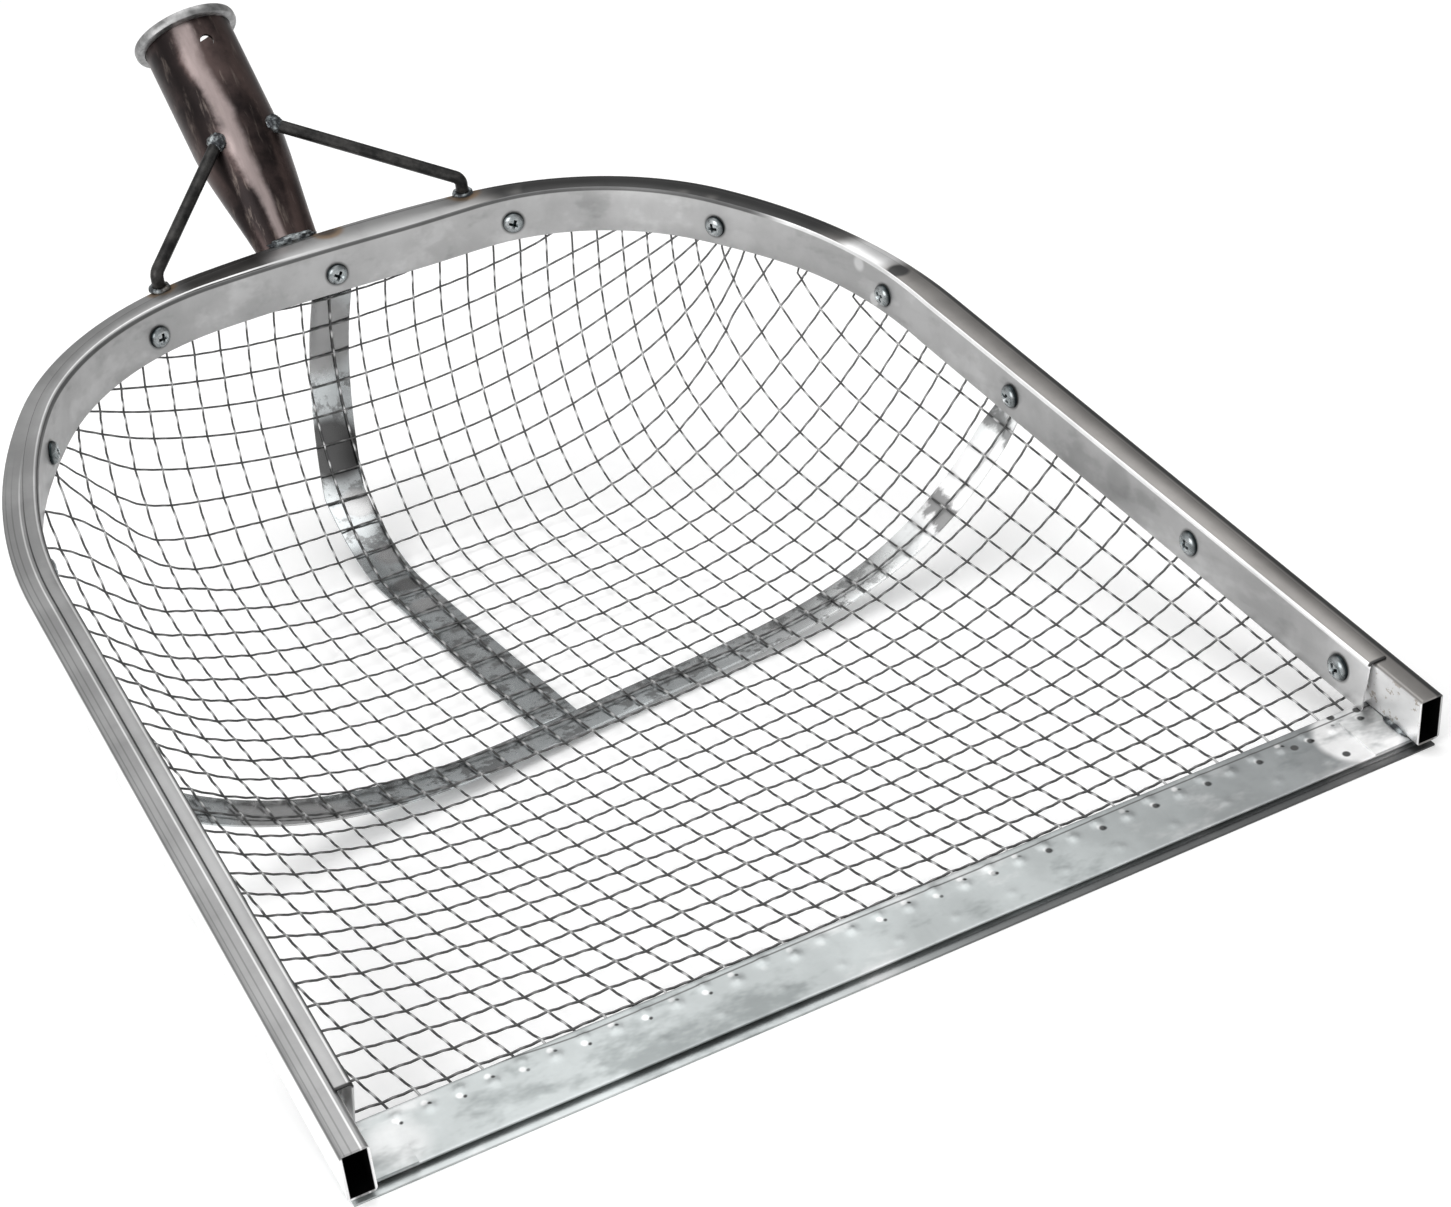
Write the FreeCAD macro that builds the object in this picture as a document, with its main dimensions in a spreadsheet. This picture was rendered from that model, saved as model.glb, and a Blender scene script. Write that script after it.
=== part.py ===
import FreeCAD, Part
import math
import os

# Leaf skimmer net: a rigid scoop for clearing leaves from a pool.
# A U-shaped rectangular tube carries a woven wire bowl, clamped by a bent strip with pan-head
# screws.  Two flat straps run under the bowl, a sandwich of two plates closes the front, and a
# flared socket with two rod braces takes the pole at the back.
# It is drawn level, with x across, y from the front lip to the back and z = 0 on the tube's top
# face, and then tilted and moved as a whole so that it rests on its lip and its spine strap.

V = FreeCAD.Vector
doc = FreeCAD.newDocument("skimmer")
sheet = doc.addObject("Spreadsheet::Sheet", "sizes")

SIZES = [
    ("frame_half_width", 208.5, "outer face of a rail from the middle"),
    ("rail_length", 331.3, "straight part of each rail, from its open end"),
    ("shoulder_radius", 291.0, "outer radius of the first, gentle bend"),
    ("shoulder_angle", 29.4, "turn of the first bend"),
    ("corner_bend_radius", 137.5, "outer radius of the tighter bend"),
    ("corner_bend_angle", 54.1, "turn of the tighter bend"),
    ("tube_width", 10.0, "tube section, across"),
    ("tube_height", 20.0, "tube section, upright"),
    ("tube_wall", 1.0, "tube wall"),
    ("tube_round", 0.9, "flat on the tube's long edges, for their rounding"),
    ("clamp_gap", 1.2, "slot between tube and strip, where strap ends are held"),
    ("clamp_sheet", 0.8, "sheet thickness of the clamp strip"),
    ("clamp_flange", 5.7, "flange of the strip that lies on the tube"),
    ("clamp_start", 26.0, "where the strip begins, from the open tube ends"),
    ("clamp_lift", 0.3, "how far the strip's lower edge stays above the tube's"),
    ("screw_head_radius", 4.8, "pan head"),
    ("screw_head_height", 3.0, "pan head"),
    ("screw_radius", 2.1, "shank"),
    ("screw_length", 7.0, "shank below the head"),
    ("screw_depth", 10.0, "rail screws' axis below the tube's top face"),
    ("bow_screw_depth", 11.5, "the same round the bow"),
    ("screw_hole_clearance", 0.15, "radial, in strip, strap and tube"),
    ("rail_screw_first", 41.0, "screw nearest the open end"),
    ("rail_screw_second", 133.5, "second screw on each rail"),
    ("bow_screw_shoulder", 37.0, "bow screws, along the outer face past the rail's end"),
    ("bow_screw_corner_left", 132.0, "the next on the left, from the same place"),
    ("bow_screw_corner_right", 149.0, "the next on the right"),
    ("bow_screw_back_left", 243.0, "the last on the left"),
    ("bow_screw_back_right", 259.5, "the last on the right"),
    ("lip_depth", 30.0, "front plates, front to back"),
    ("lip_sheet", 0.8, "front plates, thickness"),
    ("lip_gap", 1.6, "space between the front plates, where the wires end"),
    ("lip_setback", 3.5, "upper plate behind the lower plate's front edge"),
    ("lip_side_margin", 1.5, "front plates inside the tubes' outer faces"),
    ("end_plate_width", 15.0, "corner cover plates"),
    ("end_plate_back", 24.6, "rear edge of the corner cover plates"),
    ("wire_size", 1.0, "bowl wire, across"),
    ("wire_play", 0.1, "between crossing wires"),
    ("wire_seat", 0.15, "between the wires and the straps"),
    ("rim_inset", 12.3, "bowl's edge inside the tube's outer face"),
    ("rim_drop", 1.2, "bowl's edge below the tube's lower face"),
    ("floor_slope", 14.0, "fall of the bowl's floor towards the back"),
    ("back_lean", 0.0, "lean of the bowl's back wall"),
    ("heel_radius", 88.0, "bend between floor and back wall"),
    ("side_power", 3.6, "how late the floor turns up at the sides"),
    ("back_power", 2.3, "the same on the back wall"),
    ("row_turn", 0.68, "share of the profile's turn that the cross wires follow"),
    ("long_pitch", 11.2, "lengthwise wires, apart at the lip"),
    ("long_spread", 0.155, "widening of that pitch by the back"),
    ("cross_pitch", 16.4, "cross wires, apart along the floor"),
    ("cross_first", 12.0, "first cross wire behind the lip plates"),
    ("wire_in_lip", 20.0, "length of wire held between the plates"),
    ("strap_width", 20.0, "both straps"),
    ("strap_thick", 1.0, "both straps"),
    ("strap_distance", 218.0, "middle of the cross strap along the floor"),
    ("strap_skew", 25.7, "right end further back than the middle, left end as much forward"),
    ("strap_sag", 11.8, "both ends further forward than the middle, besides"),
    ("strap_rise", 16.0, "how far the strap ends reach up into the slot"),
    ("strap_joint_gap", 0.3, "between the spine strap's end and the cross strap"),
    ("spine_side", 31.0, "spine strap left of the middle, along the floor"),
    ("spine_top_side", 7.0, "the same where it ends in the slot"),
    ("spine_swing", 0.45, "share of the heel's bend after which it swings over"),
    ("socket_radius", 21.5, "outer radius of the pole socket"),
    ("socket_wall", 1.5, "wall of the pole socket"),
    ("socket_length", 64.0, "round part of the socket"),
    ("socket_taper", 60.0, "flattened part of the socket"),
    ("socket_foot_half", 14.5, "half width of the socket's foot"),
    ("socket_foot_height", 16.0, "height of the socket's foot, square to its axis"),
    ("socket_angle", 41.0, "rise of the socket above the frame's plane"),
    ("socket_yaw", 4.5, "turn of the socket to the left"),
    ("socket_side", 20.0, "socket left of the middle"),
    ("socket_seat", 0.3, "between the socket's foot and the tube"),
    ("rim_radius", 25.6, "outer radius of the socket's ring"),
    ("rim_width", 5.0, "ring along the socket"),
    ("rim_play", 0.2, "between ring and socket"),
    ("lock_hole_radius", 3.2, "hole for the pole's lock"),
    ("lock_hole_place", 17.0, "hole below the socket's mouth"),
    ("lock_hole_turn", 4.0, "hole's turn from the top, to the right"),
    ("brace_radius", 3.0, "brace rods"),
    ("brace_inset", 2.2, "brace feet inside the tube's outer face"),
    ("brace_height", 61.0, "where the braces meet the socket, along its axis"),
    ("brace_round", 50.0, "where they meet it, round from its side towards its top"),
    ("brace_bend", 5.0, "bend above each brace's foot"),
    ("brace_leg", 11.5, "height of that bend above the tube"),
    ("brace_left_foot", 87.0, "left foot from the middle"),
    ("brace_right_foot", 65.0, "right foot from the middle"),
    ("brace_seat", 0.3, "brace foot above the tube, and brace end off the socket"),
    ("bead_radius", 2.2, "weld beads"),
]
for row, (name, value, note) in enumerate(SIZES, start=1):
    sheet.set("A%d" % row, name)
    sheet.set("B%d" % row, str(value))
    sheet.set("C%d" % row, note)
    sheet.setAlias("B%d" % row, name)
doc.recompute()


def size(name):
    return float(sheet.get(name))


HW = size("frame_half_width")
RAIL = size("rail_length")
TW = size("tube_width")
TH = size("tube_height")
pieces = []


def keep(obj, label):
    obj.Label = label
    pieces.append(obj)
    return obj


def feature(label, shape):
    obj = doc.addObject("Part::Feature", "F_" + label)
    obj.Shape = shape
    return keep(obj, label)


def prism(face_points, direction):
    wire = Part.makePolygon(list(face_points) + [face_points[0]])
    return Part.Face(wire).extrude(direction)


# The bow: three tangent arcs a side.  The last one closes the bow at the middle, so its radius
# follows from the width.  An inset draws the same bow further in.
A1 = math.radians(size("shoulder_angle"))
A2 = math.radians(size("corner_bend_angle"))
A3 = math.pi / 2 - A1 - A2
R1 = size("shoulder_radius")
R2 = size("corner_bend_radius")
R3 = (HW - R1 * (1 - math.cos(A1)) - R2 * (math.cos(A1) - math.cos(A1 + A2))) / math.cos(A1 + A2)
C1 = V(HW - R1, RAIL, 0)
C2 = C1 + V(math.cos(A1), math.sin(A1), 0) * (R1 - R2)
C3 = C2 - V(math.cos(A1 + A2), math.sin(A1 + A2), 0) * (R3 - R2)
BOW = [(C1, R1, 0.0, A1), (C2, R2, A1, A1 + A2), (C3, R3, A1 + A2, math.pi / 2)]
BACK = C3.y + R3


def polar(centre, radius, angle):
    return centre + V(math.cos(angle), math.sin(angle), 0) * radius


def bow_edges(inset, start, side):
    """Edges of one half, from the rail's end to the middle of the bow."""
    def flip(p):
        return V(p.x * side, p.y, p.z)
    edges = [Part.LineSegment(flip(V(HW - inset, start, 0)), flip(V(HW - inset, RAIL, 0)))]
    for centre, radius, a, b in BOW:
        q = [flip(polar(centre, radius - inset, t)) for t in (a, (a + b) / 2, b)]
        edges.append(Part.Arc(*q))
    return edges


def band(outer, inner, start):
    """Closed outline of the U between two insets, open ends at y = start."""
    geometry = []
    for inset in (outer, inner):
        for side in (1, -1):
            geometry += bow_edges(inset, start, side)
    for side in (1, -1):
        geometry.append(Part.LineSegment(V(side * (HW - outer), start, 0),
                                         V(side * (HW - inner), start, 0)))
    return geometry


def bow_place(distance):
    """Point and outward direction on the outer face, from the rail's end along the bow."""
    for centre, radius, a, b in BOW:
        length = radius * (b - a)
        if distance <= length:
            t = a + distance / radius
            return polar(centre, radius, t), V(math.cos(t), math.sin(t), 0)
        distance -= length
    return V(0, BACK, 0), V(0, 1, 0)


def half_width(y, inset):
    """Half width of the bow's outline at y, for a given inset."""
    if y <= RAIL:
        return HW - inset
    for centre, radius, a, b in BOW:
        radius = radius - inset
        if y <= centre.y + radius * math.sin(b) + 1e-9:
            s = min(1.0, max(-1.0, (y - centre.y) / radius))
            return centre.x + radius * math.cos(math.asin(s))
    return 0.0


def plane(body, role):
    return next(f for f in body.Origin.OriginFeatures if f.Role == role)


def new_body(label):
    body = doc.addObject("PartDesign::Body", "B_" + label)
    keep(body, label)
    return body


def sketch_on(body, role, name, geometry, height=0.0):
    sk = body.newObject("Sketcher::SketchObject", name)
    sk.AttachmentSupport = (plane(body, role), [""])
    sk.MapMode = "FlatFace"
    sk.AttachmentOffset = FreeCAD.Placement(V(0, 0, height), FreeCAD.Rotation())
    sk.addGeometry(geometry, False)
    return sk


def place_z(sk, expression):
    sk.setExpression("AttachmentOffset.Base.z", expression)


# Frame tube: a padded U with broken edges, hollow from end to end.
tube = new_body("frame_tube")
sk = sketch_on(tube, "XY_Plane", "TubeOutline", band(0, TW, 0))
place_z(sk, "-sizes.tube_height")
pad = tube.newObject("PartDesign::Pad", "TubePad")
pad.Profile = sk
pad.setExpression("Length", "sizes.tube_height")
doc.recompute()
long_edges = []
for i, e in enumerate(pad.Shape.Edges, start=1):
    box = e.BoundBox
    if box.ZLength < 0.01 and box.YLength > 1.0:
        long_edges.append("Edge%d" % i)
rounding = tube.newObject("PartDesign::Chamfer", "TubeEdges")
rounding.Base = (pad, long_edges)
rounding.setExpression("Size", "sizes.tube_round")
wall = size("tube_wall")
sk = sketch_on(tube, "XY_Plane", "TubeInside", band(wall, TW - wall, -1.0))
place_z(sk, "-sizes.tube_wall")
inside = tube.newObject("PartDesign::Pocket", "TubeBore")
inside.Profile = sk
inside.setExpression("Length", "sizes.tube_height - 2 * sizes.tube_wall")
doc.recompute()

# Clamp strip: an upright web along the tube's inner face and a flange on its top face.
web_out = TW + size("clamp_gap")
web_in = web_out + size("clamp_sheet")
start = size("clamp_start")
strip = new_body("clamp_strip")
sk = sketch_on(strip, "XY_Plane", "WebOutline", band(web_out, web_in, start))
place_z(sk, "-sizes.tube_height + sizes.clamp_lift")
pad = strip.newObject("PartDesign::Pad", "WebPad")
pad.Profile = sk
pad.setExpression("Length", "sizes.tube_height - sizes.clamp_lift + sizes.clamp_sheet")
sk = sketch_on(strip, "XY_Plane", "FlangeOutline", band(web_in - size("clamp_flange") - 1.0, web_in,
                                                        start))
pad = strip.newObject("PartDesign::Pad", "FlangePad")
pad.Profile = sk
pad.setExpression("Length", "sizes.clamp_sheet")
doc.recompute()

# The bowl.  Its middle profile is a straight floor, one bend and a back wall.  Each cross row
# starts on that profile and climbs to the rim at both sides by a power law.
RIM_Z = -TH - size("rim_drop")
INSET = size("rim_inset")
LIP = size("lip_depth")
WIRE = size("wire_size")
LAYER = (WIRE + size("wire_play")) / 2
# height of the lengthwise wires between the plates, and of the bowl surface above them
WIRE_Z = -TH - size("lip_sheet") - size("lip_gap") / 2
START = V(0, LIP, WIRE_Z + LAYER)
SLOPE = math.radians(size("floor_slope"))
LEAN = math.radians(size("back_lean"))
FLOOR = V(0, math.cos(SLOPE), -math.sin(SLOPE))
WALL = V(0, -math.sin(LEAN), math.cos(LEAN))
UP = V(0, math.sin(SLOPE), math.cos(SLOPE))
TURN = SLOPE + math.pi / 2 + LEAN
HEEL = size("heel_radius")
TOP = V(0, BACK - INSET, RIM_Z)
det = FLOOR.y * WALL.z - FLOOR.z * WALL.y
gap = TOP - START
to_corner = (gap.y * WALL.z - gap.z * WALL.y) / det
wall_run = (FLOOR.y * gap.z - FLOOR.z * gap.y) / det
tangent = HEEL * math.tan(TURN / 2)
S1 = to_corner - tangent
S2 = S1 + HEEL * TURN
S3 = S2 + wall_run - tangent


def profile(s):
    """Middle profile: point, upward normal and how far it has turned."""
    if s <= S1:
        return START + FLOOR * s, UP, 0.0
    t = min((s - S1) / HEEL, TURN)
    normal = UP * math.cos(t) - FLOOR * math.sin(t)
    point = START + FLOOR * (S1 + HEEL * math.sin(t)) + UP * (HEEL * (1 - math.cos(t)))
    return point + WALL * max(0.0, s - S2), normal, t


def row(s):
    """Foot, direction of climb, climb to the rim, half width there and power of one row."""
    foot, normal, t = profile(s)
    a = math.pi / 2 - SLOPE + size("row_turn") * t
    climb = V(0, math.cos(a), math.sin(a))
    rise = max(0.0, (RIM_Z - foot.z) / climb.z)
    width = max(3.0, half_width(min(foot.y + climb.y * rise, BACK - INSET - 0.01), INSET))
    power = size("side_power") + (size("back_power") - size("side_power")) * t / TURN
    return foot, climb, rise, width, power


def bowl(u, s):
    """Point of the bowl, u from -1 to 1 across and s along the profile."""
    foot, climb, rise, width, power = row(s)
    return V(u * width, foot.y, foot.z) + climb * (rise * abs(u) ** power)


def bowl_node(u, s):
    """Point and unit normal into the bowl."""
    e = 1e-3
    du = bowl(min(1.0, u + e), s) - bowl(max(-1.0, u - e), s)
    ds = bowl(u, min(S3, s + 0.2)) - bowl(u, max(0.0, s - 0.2))
    n = du.cross(ds)
    n.normalize()
    return bowl(u, s), n


# Coarse net of the bowl: rows close together where it bends, columns closer at the sides.
COLUMNS = [0, 0.3, 0.5, 0.66, 0.79, 0.89, 0.96, 1.0]
COLUMNS = [-u for u in COLUMNS[:0:-1]] + COLUMNS


def spread(a, b, step):
    n = max(1, int(round((b - a) / step)))
    return [a + (b - a) * i / n for i in range(n)]


LAST = S3 - 4.0
ROWS = spread(0.0, S1, 62.0) + spread(S1, S2, 21.0) + spread(S2, LAST, 13.0) + [LAST]
NET = [[bowl_node(u, s) for u in COLUMNS] for s in ROWS]
WIDTHS = [row(s)[3] for s in ROWS]


def mix(a, b, t):
    return a[0] * (1 - t) + b[0] * t, a[1] * (1 - t) + b[1] * t


def net_row(s):
    """One row of the net at s, between the two coarse rows beside it."""
    k = max(i for i in range(len(ROWS) - 1) if ROWS[i] <= s + 1e-9)
    t = (s - ROWS[k]) / (ROWS[k + 1] - ROWS[k])
    return [mix(a, b, t) for a, b in zip(NET[k], NET[k + 1])]


def row_at(nodes, x):
    """Point of a row at x."""
    for a, b in zip(nodes, nodes[1:]):
        if a[0].x - 1e-9 <= x <= b[0].x + 1e-9:
            return mix(a, b, (x - a[0].x) / max(1e-9, b[0].x - a[0].x))
    return None


def skinned(rings):
    """Solid through rings of corners, with flat ends."""
    faces = [Part.Face(Part.makePolygon(r + [r[0]])) for r in (rings[0], rings[-1])]
    for r, q in zip(rings, rings[1:]):
        for k in range(len(r)):
            m = (k + 1) % len(r)
            faces.append(Part.Face(Part.makePolygon([r[k], r[m], q[m], r[k]])))
            faces.append(Part.Face(Part.makePolygon([r[k], q[m], q[k], r[k]])))
    solid = Part.makeSolid(Part.makeShell(faces))
    if solid.Volume < 0:
        solid.reverse()
    return solid


def wire_solid(nodes, offset):
    """A wire of square section through nodes (point, normal), moved along the normals."""
    h = WIRE / 2
    points = [p + n * offset for p, n in nodes]
    rings = []
    for i, p in enumerate(points):
        t = points[min(i + 1, len(points) - 1)] - points[max(i - 1, 0)]
        t.normalize()
        n = nodes[i][1] - t * nodes[i][1].dot(t)
        n.normalize()
        b = t.cross(n)
        rings.append([p + b * h + n * h, p - b * h + n * h, p - b * h - n * h, p + b * h - n * h])
    return skinned(rings)


def turned(section, base, axis, aside, sides):
    """Many-sided turned form.  The section is a closed list of (distance along axis, radius), and
    a first and last radius of zero close it on the axis."""
    aside = aside - axis * aside.dot(axis)
    aside.normalize()
    other = axis.cross(aside)

    def corner(q, k):
        t = 2 * math.pi * k / sides
        return base + axis * q[0] + (aside * math.cos(t) + other * math.sin(t)) * q[1]

    whole = section[0][1] == 0
    pairs = list(zip(section, section[1:])) + ([] if whole else [(section[-1], section[0])])
    faces = []
    for m, n in pairs:
        if m[1] == 0 or n[1] == 0:
            ring = [corner(m if n[1] == 0 else n, k) for k in range(sides)]
            faces.append(Part.Face(Part.makePolygon(ring + [ring[0]])))
            continue
        for k in range(sides):
            quad = [corner(m, k), corner(m, k + 1), corner(n, k + 1), corner(n, k)]
            faces.append(Part.Face(Part.makePolygon(quad + [quad[0]])))
    solid = Part.makeSolid(Part.makeShell(faces))
    if solid.Volume < 0:
        solid.reverse()
    return solid


# Cross wires lie on top, one row after another up the back wall.
cross = []
count = int((LAST - 3.0 - size("cross_first")) / size("cross_pitch")) + 1
for i in range(count):
    s = size("cross_first") + i * size("cross_pitch")
    cross.append(wire_solid(net_row(s), LAYER))
feature("mesh_cross_wires", Part.makeCompound(cross))

# Lengthwise wires fan out a little towards the back and stop at the rim.
long_wires = []
reach = int((HW - INSET - WIRE) / size("long_pitch"))
for k in range(-reach, reach + 1):
    nodes = []
    back_in = V(k * size("long_pitch"), LIP - size("wire_in_lip"), WIRE_Z + LAYER)
    nodes.append((back_in, V(0, 0, 1)))
    for i, s in enumerate(ROWS):
        x = k * size("long_pitch") * (1 + size("long_spread") * s / S3)
        hit = row_at(NET[i], x)
        if hit is not None and abs(x) < 0.985 * WIDTHS[i]:
            nodes.append(hit)
            continue
        # the wire meets the rim between this row and the one before
        lo, hi = ROWS[i - 1], s
        for _ in range(30):
            mid = (lo + hi) / 2
            x = k * size("long_pitch") * (1 + size("long_spread") * mid / S3)
            if abs(x) < net_row(mid)[-1][0].x - WIRE / 2:
                lo = mid
            else:
                hi = mid
        x = k * size("long_pitch") * (1 + size("long_spread") * lo / S3)
        hit = row_at(net_row(lo), x)
        if hit is not None and (hit[0] - nodes[-1][0]).Length > 3 * WIRE:
            nodes.append(hit)
        break
    if len(nodes) > 2:
        long_wires.append(wire_solid(nodes, -LAYER))
feature("mesh_long_wires", Part.makeCompound(long_wires))

# Front plates, with the wires held between them, and their corner covers.
SHEET = size("lip_sheet")
def plate(label, left, right, front, back, base):
    """Flat plate: a padded rectangle, base is its lower face as an expression."""
    body = new_body(label)
    q = [V(left, front, 0), V(right, front, 0), V(right, back, 0), V(left, back, 0)]
    sk = sketch_on(body, "XY_Plane", "Sheet_" + label,
                   [Part.LineSegment(m, n) for m, n in zip(q, q[1:] + q[:1])])
    place_z(sk, base)
    pad = body.newObject("PartDesign::Pad", "Pad_" + label)
    pad.Profile = sk
    pad.setExpression("Length", "sizes.lip_sheet")


LIP_HALF = HW - size("lip_side_margin")
SETBACK = size("lip_setback")
plate("lip_top_plate", -LIP_HALF, LIP_HALF, SETBACK, LIP, "-sizes.tube_height - sizes.lip_sheet")
plate("lip_bottom_plate", -LIP_HALF, LIP_HALF, 0, LIP,
      "-sizes.tube_height - 2 * sizes.lip_sheet - sizes.lip_gap")
IN_FACE = HW - TW - size("wire_play")
END_IN = IN_FACE - size("end_plate_width")
END_BACK = size("end_plate_back")
plate("lip_end_plate_left", -IN_FACE, -END_IN, SETBACK, END_BACK, "-sizes.tube_height")
plate("lip_end_plate_right", END_IN, IN_FACE, SETBACK, END_BACK, "-sizes.tube_height")
doc.recompute()


# Straps: flat strips bent to the bowl's underside, with their ends up in the clamp slot.
THICK = size("strap_thick")
SWIDE = size("strap_width")
UNDER = LAYER + WIRE / 2 + size("wire_seat") + THICK / 2
SLOT = TW + size("clamp_gap") / 2
RISE = size("strap_rise")


def under_bowl(x, s):
    """Middle of a strap's sheet below the bowl at x and s, and the bowl's normal there."""
    p, n = bowl_node(x / row(s)[3], s)
    return p - n * UNDER, n


def ribbon(edges):
    """Strap through pairs of edge points in short straight runs.  Each pair has one normal."""
    rings = []
    for a, b, n in edges:
        n = n * (THICK / 2 / n.Length)
        rings.append([a + n, b + n, b - n, a - n])
    return skinned(rings)


# Cross strap: square to the floor in its section, but its line skews over the floor, as the left
# end was bent up further forward than the right one.
IN_SLOT = HW - SLOT
HALF_WIDE = SWIDE / 2


def strap_line(x):
    return size("strap_distance") + size("strap_skew") * x / IN_SLOT - size("strap_sag") * (x / IN_SLOT) ** 2


def strap_end(side, z):
    """Middle of the strap in the slot at height z."""
    foot, climb = row(strap_line(side * IN_SLOT))[:2]
    return V(side * IN_SLOT, foot.y, foot.z) + climb * ((z - foot.z) / climb.z)


stations = (0.2, 0.35, 0.47, 0.57, 0.66, 0.74, 0.81, 0.87, 0.92, 0.96)
edges = []
for u in [-u for u in stations[::-1]] + [0.0] + list(stations):
    x = u * row(strap_line(0))[3]
    if abs(x) < IN_SLOT - 3.0:
        a, n = under_bowl(x, strap_line(x) - HALF_WIDE)
        b, m = under_bowl(x, strap_line(x) + HALF_WIDE)
        edges.append((a, b, n + m))
for side in (-1, 1):
    ends = []
    for z in (-TH - 2.0, -TH - 1.0 + RISE / 2, -TH + RISE):
        p = strap_end(side, z)
        ends.append((p - FLOOR * HALF_WIDE, p + FLOOR * HALF_WIDE, V(-side, 0, 0)))
    edges = edges + ends if side > 0 else ends[::-1] + edges
strap = ribbon(edges)

# Spine strap: from the cross strap back along the floor, up the wall and into the slot.  It lies
# left of the middle and swings over towards it up the wall.
TOP_ANGLE = math.pi / 2 + math.asin(size("spine_top_side") / (R3 - SLOT))
TOP_OUT = V(math.cos(TOP_ANGLE), math.sin(TOP_ANGLE), 0)
TOP_WAY = V(math.sin(TOP_ANGLE), -math.cos(TOP_ANGLE), 0)


def spine_line(s):
    begin = S1 + (S2 - S1) * size("spine_swing")
    share = min(1.0, max(0.0, (s - begin) / (S2 + 13.0 - begin)))
    return -size("spine_side") + (size("spine_side") - size("spine_top_side")) * share


edges = []
first = strap_line(-size("spine_side")) + HALF_WIDE + size("strap_joint_gap")
slot_at = polar(C3, R3 - SLOT, TOP_ANGLE)
for i, s in enumerate(spread(first, S1, 80.0) + spread(S1, S2, 10.0) + [S2]):
    x = spine_line(s)
    ahead = [strap_line(q) - strap_line(x) if i == 0 else 0.0 for q in (x - HALF_WIDE, x + HALF_WIDE)]
    a, n = under_bowl(x - HALF_WIDE, s + ahead[0])
    b, m = under_bowl(x + HALF_WIDE, s + ahead[1])
    if max(a.y, b.y) < slot_at.y - 0.3 or a.z < -TH - 20.0:
        edges.append((a, b, n + m))
for z in (-TH - 2.0, -TH + RISE / 2, -TH + RISE):
    p = V(slot_at.x, slot_at.y, z)
    edges.append((p - TOP_WAY * HALF_WIDE, p + TOP_WAY * HALF_WIDE, TOP_OUT * -1.0))
spine = ribbon(edges)

# Screws: through strip and tube wall from the inside, square to the tube.
places = []
rail_deep, bow_deep = V(0, 0, -size("screw_depth")), V(0, 0, -size("bow_screw_depth"))
for side, word in ((1, "right"), (-1, "left")):
    for y in (size("rail_screw_first"), size("rail_screw_second"), strap_end(side, rail_deep.z).y):
        places.append((V(side * HW, y, 0) + rail_deep, V(side, 0, 0)))
    for name in ("bow_screw_shoulder", "bow_screw_corner_" + word, "bow_screw_back_" + word):
        p, n = bow_place(size(name))
        places.append((V(side * p.x, p.y, 0) + bow_deep, V(side * n.x, n.y, 0)))
places.append((polar(C3, R3, TOP_ANGLE) + bow_deep, TOP_OUT))
HEAD = size("screw_head_radius")
TALL = size("screw_head_height")
screws = []
holes = []
for p, n in places:
    seat = p - n * web_in
    shank = size("screw_radius")
    # the head and the shank are drawn with flat sides, as there are many screws
    section = [(-TALL, 0), (-TALL, HEAD * 0.62), (-TALL * 0.45, HEAD), (0, HEAD), (0, shank),
               (size("screw_length"), shank), (size("screw_length"), 0)]
    screws.append(turned(section, seat, n, V(0, 0, 1), 12))
    # the holes are drawn eight-sided, which keeps the curved walls round them simple
    side_way = V(0, 0, 1).cross(n)
    free = (shank + size("screw_hole_clearance")) / math.cos(math.pi / 8)
    ring = [math.pi / 4 * (k + 0.5) for k in range(8)]
    holes.append(prism([seat - n + side_way * (free * math.cos(t)) + V(0, 0, free * math.sin(t)) for t in ring],
                       n * (TW * 0.6 + 3)))
feature("clamp_screws", Part.makeCompound(screws))
hole_group = Part.makeCompound(holes)
drill = doc.addObject("Part::Feature", "ScrewHoles")
drill.Shape = hole_group

feature("cross_strap", strap.cut(hole_group))
feature("spine_strap", spine.cut(hole_group))


# Pole socket: a round tube whose lower end is drawn down flat and cut to sit on the tube's back face.
PITCH = math.radians(size("socket_angle"))
YAW = math.radians(size("socket_yaw"))
SIDE = V(math.cos(YAW), math.sin(YAW), 0)
AXIS = V(-math.sin(YAW), math.cos(YAW), 0) * math.cos(PITCH) + V(0, 0, math.sin(PITCH))
ACROSS = SIDE.cross(AXIS)
SR = size("socket_radius")
foot_angle = math.pi / 2 + math.asin(size("socket_side") / R3)
foot_point = polar(C3, R3, foot_angle) + V(0, 0, -TH / 2)
FLAT = size("socket_foot_height")
TAPER = size("socket_taper")
LONG = size("socket_length")


def socket_form(less, extra=0.0):
    """The socket's form drawn in by less, from below its foot to past its mouth by extra.

    It stands upright on its foot here: a round barrel on a cone that is flattened between two
    sloping planes.
    """
    half = size("socket_foot_half") - less
    high = FLAT / 2 - less
    deep = FLAT / 2 + 2
    wide = SR - less
    stub = Part.makeCylinder(half, deep, V(0, 0, -deep))
    lower = stub.fuse(Part.makeCone(half, wide, TAPER))
    wedge = prism([V(-2 * SR, -high, -deep), V(-2 * SR, high, -deep), V(-2 * SR, high, 0),
                   V(-2 * SR, wide, TAPER), V(-2 * SR, -wide, TAPER), V(-2 * SR, -high, 0)], V(4 * SR, 0, 0))
    barrel = Part.makeCylinder(wide, LONG + extra, V(0, 0, TAPER))
    return lower.common(wedge).fuse(barrel)


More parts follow.
